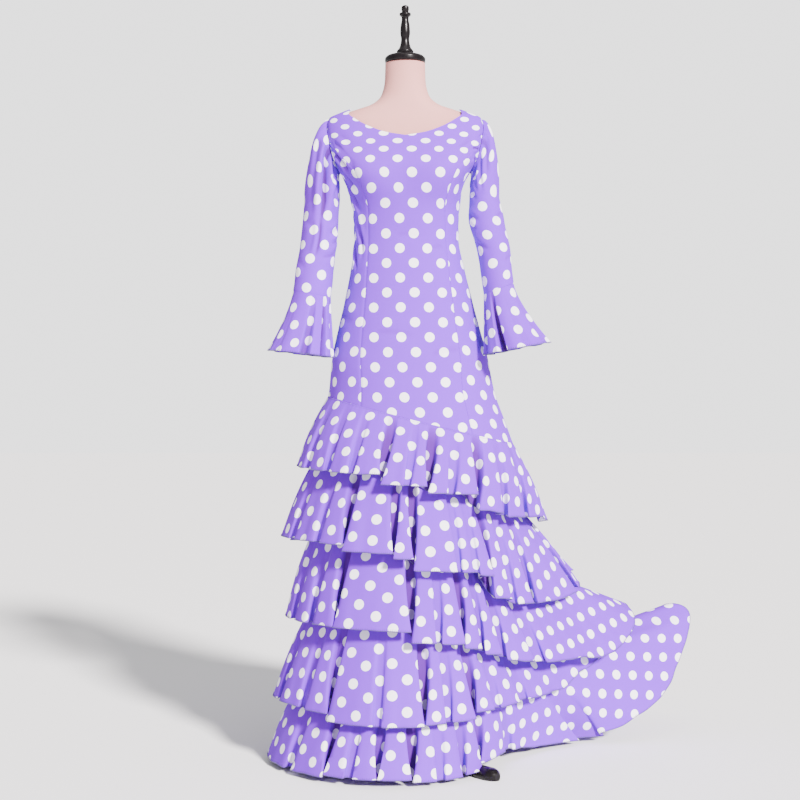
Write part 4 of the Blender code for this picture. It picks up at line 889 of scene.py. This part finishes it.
def terracedHem(number, folds, turns):  # lobes hang nearly level, with a step at each deep fold
    hem = hemLoop(number, turns)
    steps = sorted((fold for fold in folds if fold[2] >= flounce["stepFold"]), key=lambda fold: fold[0] % 360)
    middles = np.array([fold[0] % 360 for fold in steps])
    spot = np.mod(turns, 360)

    def levelled(at):
        index = np.searchsorted(middles, np.mod(at, 360), side="right")
        low = middles[(index - 1) % len(steps)] - np.where(index == 0, 360, 0)
        high = middles[index % len(steps)] + np.where(index == len(steps), 360, 0)
        own = hemLoop(number, at)[:, 2]
        flat = hemLoop(number, (low + high) / 2)[:, 2]
        limit = flounce["levelLimit"]
        return own + np.clip((flat - own) * flounce["level"], -limit, limit)

    height = levelled(turns)
    for middle, halfWidth, deep in steps:
        reach = flounce["stepWidth"] * halfWidth
        offset = awayFrom(spot, middle % 360)
        inside = np.abs(offset) < reach
        if inside.any():
            left, right = levelled(np.array([middle - reach, middle + reach]))
            t = (offset[inside] / reach + 1) / 2
            height[inside] = left + (right - left) * t * t * (3 - 2 * t)
    fromTrain = np.abs(spot - flounce["trainTurn"])
    onTrain = np.clip((flounce["trainHalf"] - fromTrain) / flounce["trainFade"], 0, 1)
    hem[:, 2] = height * (1 - onTrain) + hem[:, 2] * onTrain
    return hem


def closeLoop(grid):  # repeats the first column at the end
    return np.concatenate([grid, grid[:, :1]], axis=1)


def unrollUv(grid, seed, turnsFromFront):  # lays the strips side by side, so that the dots stay round
    seam = np.concatenate([grid[0], grid[0][:1]])
    hem = np.concatenate([grid[-1], grid[-1][:1]])

    def beyond(a, b, fromA, fromB):
        base = b - a
        length = math.hypot(*base)
        x = (fromA ** 2 - fromB ** 2 + length ** 2) / (2 * length)
        y = math.sqrt(max(fromA ** 2 - x * x, 0.0))
        return a + base / length * x + np.array([-base[1], base[0]]) / length * y

    flatSeam = [np.array([0.0, 0.0])]
    flatHem = [np.array([0.0, -float(np.linalg.norm(hem[0] - seam[0]))])]
    for i in range(len(seam) - 1):
        toHem = np.linalg.norm(hem[i + 1] - np.array([seam[i], hem[i], seam[i + 1]]), axis=-1)
        nextHem = beyond(flatSeam[-1], flatHem[-1], toHem[0], toHem[1])
        nextSeam = beyond(flatSeam[-1], nextHem, np.linalg.norm(seam[i + 1] - seam[i]), toHem[2])
        flatHem.append(nextHem)
        flatSeam.append(nextSeam)
    flatSeam = np.array(flatSeam)
    flatHem = np.array(flatHem)
    front = int(np.argmin(np.abs(turnsFromFront)))
    lean = flatHem[front] - flatSeam[front]
    angle = -math.pi / 2 - math.atan2(lean[1], lean[0])
    spin = np.array([[math.cos(angle), -math.sin(angle)], [math.sin(angle), math.cos(angle)]])
    origin = flatSeam[front]
    flatSeam = (flatSeam - origin) @ spin.T
    flatHem = (flatHem - origin) @ spin.T
    down = runAlong(closeLoop(grid))
    share = (down / down[-1:])[..., None]
    chance = random.Random(seed)
    shift = np.array([chance.uniform(0, flounce["dotShift"]), chance.uniform(0, flounce["dotShift"])])
    return flatSeam[None] * (1 - share) + flatHem[None] * share + shift


def ringUv(grid, seamLength, hemLength, height, seed):  # flat ring of a circular cut
    middle = grid[len(grid) // 2]
    loop = np.concatenate([middle, middle[:1]])
    run = runAlong(loop)
    sweep = (hemLength - seamLength) / height
    inner = seamLength / sweep
    angle = (run / run[-1] - 0.5) * sweep
    down = runAlong(closeLoop(grid))
    radius = inner + down
    chance = random.Random(seed)
    return np.stack([radius * np.sin(angle) + chance.uniform(0, flounce["dotShift"]),
                     -radius * np.cos(angle) + chance.uniform(0, flounce["dotShift"])], axis=-1)


def rowLength(row):
    return float(np.linalg.norm(np.roll(row, -1, axis=0) - row, axis=-1).sum())


def waveSum(chance, arc, counts):
    return sum(chance.uniform(0.5, 1.0) * np.sin(arc * waves + chance.uniform(0, 6.28)) for waves in counts)


def tubeAlong(name, line, sideways, downward, radius, sides, material):  # closed cord along a loop
    count = len(line)
    angles = np.arange(sides) * 2 * math.pi / sides
    ring = (np.cos(angles)[None, :, None] * sideways[:, None]
            + np.sin(angles)[None, :, None] * downward[:, None])
    points = (line[:, None] + ring * radius).reshape(-1, 3) + formAxis
    i, k = np.meshgrid(np.arange(count), np.arange(sides), indexing="ij")
    nextI = (i + 1) % count
    nextK = (k + 1) % sides
    faces = np.stack([i * sides + k, i * sides + nextK, nextI * sides + nextK, nextI * sides + k], axis=-1)
    mesh = bpy.data.meshes.new(name)
    mesh.from_pydata(points.tolist(), [], faces.reshape(-1, 4).tolist())
    return addPiece(name, mesh, material)


def makeStitchGroup():
    group = bpy.data.node_groups.new("threadStitches", "GeometryNodeTree")
    group.interface.new_socket("Geometry", in_out="INPUT", socket_type="NodeSocketGeometry")
    for label, kind, value in (("spacing", "NodeSocketFloat", 0.0035),
                               ("stitchLength", "NodeSocketFloat", 0.0046),
                               ("threadRadius", "NodeSocketFloat", 0.00034), ("seed", "NodeSocketInt", 3)):
        group.interface.new_socket(label, in_out="INPUT", socket_type=kind).default_value = value
    group.interface.new_socket("threadMaterial", in_out="INPUT", socket_type="NodeSocketMaterial")
    group.interface.new_socket("Geometry", in_out="OUTPUT", socket_type="NodeSocketGeometry")

    def add(kind, inputs=(), **settings):
        node = group.nodes.new(kind)
        for key, value in settings.items():
            setattr(node, key, value)
        for key, value in dict(inputs).items():
            node.inputs[key].default_value = value
        return node

    given = add("NodeGroupInput")
    toCurve = add("GeometryNodeMeshToCurve")
    resample = add("GeometryNodeResampleCurve", mode="LENGTH")
    along = add("GeometryNodeInputNamedAttribute", {"Name": "stitchAlong"}, data_type="FLOAT_VECTOR")
    jitter = add("FunctionNodeRandomValue", data_type="FLOAT_VECTOR")
    jitter.inputs["Min"].default_value = (-0.16, -0.16, -0.16)
    jitter.inputs["Max"].default_value = (0.16, 0.16, 0.16)
    tilted = add("ShaderNodeVectorMath")
    align = add("FunctionNodeAlignRotationToVector", axis="Z")
    cylinder = add("GeometryNodeMeshCylinder", {"Vertices": 5})
    size = add("FunctionNodeRandomValue", {2: 0.85, 3: 1.12}, data_type="FLOAT")
    place = add("GeometryNodeInstanceOnPoints")
    realize = add("GeometryNodeRealizeInstances")
    paint = add("GeometryNodeSetMaterial")
    result = add("NodeGroupOutput")
    for source, target in (
            (given.outputs["Geometry"], toCurve.inputs["Mesh"]), (toCurve.outputs[0], resample.inputs["Curve"]),
            (given.outputs["spacing"], resample.inputs["Length"]), (resample.outputs[0], place.inputs["Points"]),
            (along.outputs[0], tilted.inputs[0]), (jitter.outputs[0], tilted.inputs[1]),
            (given.outputs["seed"], jitter.inputs["Seed"]), (given.outputs["seed"], size.inputs["Seed"]),
            (tilted.outputs[0], align.inputs["Vector"]), (align.outputs[0], place.inputs["Rotation"]),
            (given.outputs["stitchLength"], cylinder.inputs["Depth"]),
            (given.outputs["threadRadius"], cylinder.inputs["Radius"]),
            (cylinder.outputs["Mesh"], place.inputs["Instance"]), (size.outputs[1], place.inputs["Scale"]),
            (place.outputs[0], realize.inputs[0]), (realize.outputs[0], paint.inputs["Geometry"]),
            (given.outputs["threadMaterial"], paint.inputs["Material"]), (paint.outputs[0], result.inputs[0])):
        group.links.new(source, target)
    return group


stitchGroup = makeStitchGroup()


def stitchRow(name, line, along, spacing, length, radius, seed):
    count = len(line)
    edges = [(i, (i + 1) % count) for i in range(count)]
    mesh = bpy.data.meshes.new(name + "Path")
    mesh.from_pydata((line + formAxis).tolist(), edges, [])
    attribute = mesh.attributes.new("stitchAlong", "FLOAT_VECTOR", "POINT")
    attribute.data.foreach_set("vector", np.asarray(along, dtype=np.float32).ravel())
    path = addObject(name + "Path", mesh)
    modifier = path.modifiers.new("stitches", "NODES")
    modifier.node_group = stitchGroup
    values = {"spacing": spacing, "stitchLength": length, "threadRadius": radius, "seed": seed,
              "threadMaterial": thread}
    for item in stitchGroup.interface.items_tree:
        if item.in_out == "INPUT" and item.name in values:
            modifier[item.identifier] = values[item.name]
    graph = bpy.context.evaluated_depsgraph_get()
    made = bpy.data.meshes.new_from_object(path.evaluated_get(graph))
    made.name = name
    bpy.data.objects.remove(path, do_unlink=True)
    bpy.data.meshes.remove(mesh)
    made.shade_smooth()
    return addObject(name, made)


trim = {"hemRadius": 0.00095, "hemSides": 6, "overlockIn": 0.0022, "spacing": 0.0042, "overlockLength": 0.0044,
        "overlockRadius": 0.00030, "topstitchLength": 0.0028, "topstitchRadius": 0.00028}


def finishFlounce(name, node, grid, normals, uv, flip, seed, paintedCreaseShade):  # shell, rolled hem and stitches
    piece = clothShell(name, grid, uv, flounce["wall"], crepe, True,
                       flip=flip, normals=normals, paintedCreaseShade=paintedCreaseShade)
    height = float(np.linalg.norm(np.diff(grid, axis=0), axis=-1).sum(axis=0).max())
    noteCut(name, grid, True, rowLength(grid[-1]), height)
    down = unit(grid[-1] - grid[-3])
    hemLine = grid[-1] - normals[-1] * flounce["wall"] / 2
    extras = [tubeAlong(name + "RolledHem", hemLine, normals[-1], down, trim["hemRadius"],
                        trim["hemSides"], thread)]
    around = unit(np.roll(grid[-1], -1, axis=0) - np.roll(grid[-1], 1, axis=0))
    extras.append(stitchRow(name + "Overlock", grid[-1] - down * trim["overlockIn"] + normals[-1] * 0.00015,
                            unit(down + 0.35 * around), trim["spacing"], trim["overlockLength"],
                            trim["overlockRadius"], seed))
    if node != "cuff":
        row = grid[1] * 0.35 + grid[0] * 0.65
        along = unit(np.roll(row, -1, axis=0) - np.roll(row, 1, axis=0))
        extras.append(stitchRow(name + "Topstitch", row + normals[0] * 0.0002, along, trim["spacing"],
                                trim["topstitchLength"], trim["topstitchRadius"], seed + 1))
    for extra in extras:
        declare(extra)
    return piece, extras


def makeFlounce(number):
    fine = np.arange(flounce["fineColumns"]) * 360 / flounce["fineColumns"] + 180
    folds = flounceFolds(number)
    deep = np.minimum(foldDepth(folds, fine), flounce["foldRoom"] * roomBelow(number, fine))[:, None]
    turns = spreadColumns(fine, hemLoop(number, fine) - outwardOf(number, fine) * deep, flounce["columns"])
    seam = seamLoop(number, turns)
    hem = terracedHem(number, folds, turns)
    outward = outwardOf(number, turns)
    sideways = np.stack([-outward[:, 1], outward[:, 0], np.zeros(len(turns))], axis=-1)
    perDegree = np.linalg.norm(hemLoop(number, turns + 0.5) - hemLoop(number, turns - 0.5), axis=-1)
    shift = lobeFolds(folds, turns, flounce["mouth"]) * perDegree
    depth = np.minimum(foldDepth(folds, turns), flounce["foldRoom"] * roomBelow(number, turns))[:, None]
    arc = np.arange(flounce["columns"]) / flounce["columns"] * 2 * math.pi
    chance = random.Random(50 + number)
    ripple = waveSum(chance, arc, (29, 41, 53, 67, 23)) / 3.2
    gather = waveSum(chance, arc, (97, 131, 163)) / 2.2
    lift = waveSum(chance, arc, (13, 31, 47)) / 3
    shares = np.concatenate([np.linspace(0, 0.94, flounce["rows"] - 4), (0.962, 0.98, 0.992, 1.0)])
    height = float(np.linalg.norm(hem - seam, axis=-1).mean())
    rows = []
    for share in shares:
        level = seam * (1 - share) + hem * share + outward * flounce["swell"] * math.sin(math.pi * share)
        push = -depth[:, 0] * share ** 0.9
        push = push + flounce["ripple"] * ripple * share ** 1.3
        gathered = flounce["gather"] * gather * math.exp(-share * height / flounce["gatherFade"])
        push = push + gathered * min(share * 20, 1)
        fromHem = (1 - share) * height
        push = push + flounce["hemFlip"] * math.exp(-fromHem / flounce["hemFlipHeight"])
        row = level + outward * push[:, None] + sideways * (shift * share ** 2.0)[:, None]
        row[:, 2] += flounce["lift"] * lift * share ** 3
        rows.append(row)
    grid = np.array(rows)
    normals = -gridNormals(grid, True)
    uv = unrollUv(grid, 60 + number, np.append(turns, turns[0] + 360) - 360)
    name = "flounce%dCloth" % number
    # painted shade in the folds: the colour darkens with fold depth and towards the hem
    paintedCreaseShade = (depth[:, 0] / flounce["fullShadeDepth"])[None, :] ** 2.0 * shares[:, None] ** 0.5
    piece, extras = finishFlounce(name, "flounce", grid, normals, uv, True, number * 10, paintedCreaseShade)
    declare(piece, ("flounce_%d" % number,))
    return piece


flouncePieces = [makeFlounce(number) for number in range(1, 6)]
print("flounces", [round(cutPieces[p.name][0], 2) for p in flouncePieces])


def makeCuff(word, side):
    fine = 180 + np.arange(cuff["fineColumns"]) * 360 / cuff["fineColumns"]
    ring, hemRing = sleeveRings[word][-1], cuffHems[word]

    def outwardFrom(hem):
        outward = hem - np.array([side * hemRing[1], hemRing[2], 0])
        outward[:, 2] = 0
        return unit(outward)

    hemFine = ringPoints(hemRing, side, fine)
    folded = hemFine - outwardFrom(hemFine) * foldDepth(cuffFolds[word], fine)[:, None]
    phases = spreadColumns(fine, folded, cuff["columns"])
    top = ringPoints(ring, side, phases)
    top[:, 2] -= cuff["seamDrop"]
    hem = ringPoints(hemRing, side, phases)
    outward = outwardFrom(hem)
    depth = foldDepth(cuffFolds[word], phases)
    arc = np.arange(cuff["columns"]) / cuff["columns"] * 2 * math.pi
    chance = random.Random(80 + side)
    ripple = waveSum(chance, arc, (7, 11, 17)) / 2
    height = float(np.linalg.norm(hem - top, axis=-1).mean())
    rows = []
    shares = np.concatenate([np.linspace(0, 0.93, cuff["rows"]), (0.955, 0.978, 0.991, 1.0)])
    for share in shares:
        flare = share ** 1.35
        level = top * (1 - flare) + hem * flare
        level[:, 2] = top[:, 2] * (1 - share) + hem[:, 2] * share
        push = -depth * share ** 1.2 + cuff["ripple"] * ripple * share ** 1.3
        push = push + cuff["hemFlip"] * math.exp(-(1 - share) * height / cuff["hemFlipHeight"])
        rows.append(level + outward * push[:, None])
    grid = np.array(rows)
    normals = gridNormals(grid, True) * side
    uv = ringUv(grid, rowLength(grid[0]), rowLength(grid[-1]), height, 90 + side)
    name = "cuff" + word.title() + "Cloth"
    # painted shade in the cuff's folds: the colour darkens with fold depth and towards the hem
    paintedCreaseShade = (depth / cuff["fullShadeDepth"])[None, :] ** 1.6 * shares[:, None] ** 0.5
    piece, extras = finishFlounce(name, "cuff", grid, normals, uv, side < 0, 70 + side, paintedCreaseShade)
    declare(piece, ("cuff_flounce_" + word,))
    return piece


cuffPieces = {word: makeCuff(word, side) for word, side in (("left", -1), ("right", 1))}
print("cuffs")


base = {"columns": 260, "wall": 0.0010, "gap": 0.0027, "trainGap": 0.0046, "trainWidth": 24, "topGap": 0.0024,
        "topDrop": 0.002, "bottomDrop": 0.012, "steps": 7, "lastSteps": 2}


def makeBase():
    turns = 180 + np.arange(base["columns"]) * 360 / base["columns"]
    rings = [seamLoop(number, turns) for number in range(1, 6)]
    rings[0][:, 2] -= base["topDrop"]
    low = rings[-1].copy()
    low[:, 2] -= base["bottomDrop"]
    coarse = np.array(rings + [low])
    reach = np.abs(np.mod(turns, 360) - flounce["trainTurn"]) / base["trainWidth"]
    inset = base["gap"] + base["trainGap"] * np.clip(1.3 - reach, 0, 1)
    insets = np.tile(inset, (len(coarse), 1))
    insets[0] = base["topGap"]
    coarse = coarse + gridNormals(coarse, True) * insets[:, :, None]
    rows = []
    for above, below in zip(coarse, coarse[1:]):
        steps = base["lastSteps"] if below is coarse[-1] else base["steps"]
        rows += [above * (1 - t / steps) + below * t / steps for t in range(steps)]
    rows.append(coarse[-1])
    grid = np.array(rows)
    normals = -gridNormals(grid, True)
    height = float(np.linalg.norm(np.diff(grid, axis=0), axis=-1).sum(axis=0).mean())
    uv = ringUv(grid, rowLength(grid[0]), rowLength(grid[-1]), height, 99)
    piece = clothShell("skirtBaseCloth", grid, uv, base["wall"], crepe, True, flip=True, normals=normals)
    tall = float(np.linalg.norm(np.diff(grid, axis=0), axis=-1).sum(axis=0).max())
    noteCut(piece.name, grid, True, rowLength(grid[-1]), tall)
    declare(piece, ("skirt_base",))
    return piece


basePiece = makeBase()
print("skirt base")

form = {
    "columns": 150, "rows": 130, "bottom": 0.846, "top": 1.612,
    "clearHeights": [0.840, 1.207, 1.290, 1.340, 1.430, 1.470, 1.490, 1.506, 1.620],
    "clearances": [0.0050, 0.0040, 0.0055, 0.0070, 0.0072, 0.0062, 0.0062, 0.0052, 0.0045],
}


def solidFrom(name, points, faces, material, angle=40):
    mesh = bpy.data.meshes.new(name)
    mesh.from_pydata((np.asarray(points) + formAxis).tolist(), [], faces)
    return addPiece(name, mesh, material, angle)


def loftFaces(rings, sides):
    faces = [tuple(reversed(range(sides)))]
    for ring in range(rings - 1):
        for side in range(sides):
            here = ring * sides + side
            there = ring * sides + (side + 1) % sides
            faces.append((here, there, there + sides, here + sides))
    faces.append(tuple(range((rings - 1) * sides, rings * sides)))
    return faces


def makeForm():
    turns = np.arange(form["columns"]) * 360 / form["columns"]
    points = []
    for height in np.linspace(form["bottom"], form["top"], form["rows"]):
        level = np.full(form["columns"], height)
        distance = evenCurve(form["clearHeights"], form["clearances"], height)
        ring = bodyPoint(turns, level) - bodyNormal(turns, level) * (distance + 0.0003)
        if height == form["bottom"]:
            ring[:, 2] = form["bottom"]
        points.append(ring)
    faces = loftFaces(form["rows"], form["columns"])
    piece = solidFrom("formTorsoPadding", np.concatenate(points), faces, jersey)
    declare(piece, ("form_torso",))
    return piece


def fineProfile(profile, steps):  # rounded between its rows
    at = np.arange(len(profile))
    fine = np.linspace(0, len(profile) - 1, (len(profile) - 1) * steps + 1)
    return np.stack([evenCurve(at, [row[k] for row in profile], fine) for k in range(len(profile[0]))], axis=-1)


def makeLathe(name, node, profile, sides, material, steps=5):
    angles = np.arange(sides) * 2 * math.pi / sides
    rows = fineProfile(profile, steps)
    points = np.concatenate([np.stack([r * np.cos(angles), r * np.sin(angles), np.full(sides, z)], axis=-1)
                             for r, z in rows])
    piece = solidFrom(name, points, loftFaces(len(rows), sides), material)
    declare(piece, (node,))
    return piece


formPiece = makeForm()
capBase = 1.6128
foot = capBase + 0.0213
makeLathe("neckCapLacquer", "neck_cap", (
    (0.044, capBase), (0.0465, capBase + 0.002), (0.047, capBase + 0.006), (0.047, capBase + 0.010),
    (0.045, capBase + 0.0135), (0.040, capBase + 0.017), (0.028, capBase + 0.0195), (0.020, capBase + 0.021)),
    72, lacquer)
makeLathe("finialLacquer", "finial", (
    (0.018, foot), (0.0195, foot + 0.006), (0.013, foot + 0.016), (0.0095, foot + 0.034), (0.0115, foot + 0.050),
    (0.0105, foot + 0.066), (0.0082, foot + 0.080), (0.0085, foot + 0.086), (0.0132, foot + 0.0905),
    (0.0132, foot + 0.0945), (0.0075, foot + 0.098), (0.0088, foot + 0.104), (0.0085, foot + 0.110),
    (0.004, foot + 0.1135)), 64, lacquer)
makeLathe("standPostLacquer", "stand_post", ((0.016, 0.2903), (0.016, 0.846 - 0.0003)),
          48, lacquer, 1)
makeLathe("standHubLacquer", "stand_hub", (
    (0.012, 0.195), (0.022, 0.207), (0.030, 0.220), (0.030, 0.278), (0.026, 0.285), (0.021, 0.290)),
    64, lacquer)
legRings = (  # out, height, half width, half height
    (0.0303, 0.250, 0.013, 0.022), (0.055, 0.256, 0.013, 0.019), (0.090, 0.246, 0.0125, 0.017),
    (0.125, 0.210, 0.012, 0.016), (0.152, 0.150, 0.0115, 0.015), (0.175, 0.090, 0.011, 0.014),
    (0.200, 0.040, 0.012, 0.012), (0.222, 0.017, 0.015, 0.012), (0.250, 0.009, 0.020, 0.017),
    (0.276, 0.009, 0.0215, 0.017), (0.292, 0.0085, 0.016, 0.015), (0.300, 0.008, 0.008, 0.010))


def makeLeg(number):
    rings = fineProfile(legRings, 4)
    turn = math.radians(42 + number * 120)
    out = np.array([math.sin(turn), -math.cos(turn)])
    across = np.array([math.cos(turn), math.sin(turn)])
    sides = 28
    angles = np.arange(sides) * 2 * math.pi / sides
    points = []
    for index, (radial, height, halfWidth, halfHeight) in enumerate(rings):
        before = rings[max(index - 1, 0)]
        after = rings[min(index + 1, len(rings) - 1)]
        lean = math.atan2(after[1] - before[1], after[0] - before[0])
        lean *= max(0.0, min(1.0, (0.245 - radial) / 0.03)) * min(1.0, index / 3)
        rise = halfHeight * np.sin(angles)
        shift = halfWidth * np.cos(angles)
        spot = out[None, :] * (radial - rise * math.sin(lean))[:, None] + across[None, :] * shift[:, None]
        level = np.maximum(height + rise * math.cos(lean), 0.0)
        points.append(np.column_stack([spot, level]))
    faces = loftFaces(len(rings), sides)
    piece = solidFrom("standLeg%dLacquer" % (number + 1), np.concatenate(points), faces, lacquer)
    declare(piece, ("stand_leg_%d" % (number + 1),))


for number in range(3):
    makeLeg(number)
print("form and stand")

for name, values in cutPieces.items():
    print("cut", name, [round(float(value), 3) for value in values])

studio = {
    "floor": (0.95, 0.945, 0.955), "floorSize": 40.0, "worldStrength": 0.66, "paleness": 2.4,
    "keyPower": 14.5, "keySize": 0.14, "fillPower": 6.0, "topPower": 14.0,
}


def makeFloor():
    size = studio["floorSize"] / 2
    make, noise, mix, finish = newMaterial("paleStudioFloor")
    tone = noise(make("ShaderNodeTexCoord").outputs["Object"], 3.0, 3.0)
    colour = mix(tone, [c * 0.985 for c in studio["floor"]], studio["floor"])
    material = finish(colour, None, 0.0, 0.0, {"Roughness": 0.9})
    mesh = bpy.data.meshes.new("studioFloor")
    corners = [(-size, -size, 0), (size, -size, 0), (size, size, 0), (-size, size, 0)]
    mesh.from_pydata(corners, [], [(0, 1, 2, 3)])
    mesh.materials.append(material)
    addObject("studioFloor", mesh)


makeFloor()
world = bpy.data.worlds.new("studioWorld")
world.use_nodes = True
nodes, links = world.node_tree.nodes, world.node_tree.links
soft = nodes["Background"]
pale = nodes.new("ShaderNodeBackground")  # what the eye sees behind the part
for sky, strength in ((soft, studio["worldStrength"]), (pale, studio["paleness"])):
    sky.inputs["Color"].default_value = (1.0, 0.99, 1.0, 1)
    sky.inputs["Strength"].default_value = strength
seen = nodes.new("ShaderNodeLightPath").outputs["Is Camera Ray"]
blend = nodes.new("ShaderNodeMixShader")
for source, target in ((seen, blend.inputs[0]), (soft.outputs[0], blend.inputs[1]),
                       (pale.outputs[0], blend.inputs[2]), (blend.outputs[0], nodes["World Output"].inputs[0])):
    links.new(source, target)
bpy.context.scene.world = world


def addLamp(name, place, target, size, power, colour, kind="AREA"):
    light = bpy.data.lights.new(name, kind)
    if kind == "SUN":
        light.angle = size
    else:
        light.shape = "DISK"
        light.size = size
    light.energy = power
    light.color = colour
    lamp = addObject(name, light)
    here = np.array(place) + formAxis
    lamp.location = here
    aim = np.array(target) + formAxis - here
    lamp.rotation_euler = Vector(aim).to_track_quat("-Z", "Y").to_euler()


addLamp("keyLamp", (1.5, -2.5, 2.4), (0.0, 0.0, 0.9), studio["keySize"], studio["keyPower"],
        (1.0, 0.95, 0.93), "SUN")
addLamp("fillLamp", (-2.2, -2.4, 1.3), (0.0, 0.0, 0.8), 2.0, studio["fillPower"], (0.90, 0.92, 1.0))
addLamp("topLamp", (0.2, -0.6, 3.4), (0.0, 0.0, 0.6), 1.6, studio["topPower"], (1.0, 0.98, 0.97))
camera = bpy.data.cameras.new("photoCamera")
camera.lens = 36 * 1505 / 800  # from the photo's focal length in pixels
camera.sensor_width = 36
viewer = addObject("photoCamera", camera)
viewer.location = (formAxis[0] - 0.012, formAxis[1] - 3.5, 0.83)
viewer.rotation_euler = (math.radians(90), 0, 0)
bpy.context.scene.camera = viewer
print("stage and camera")
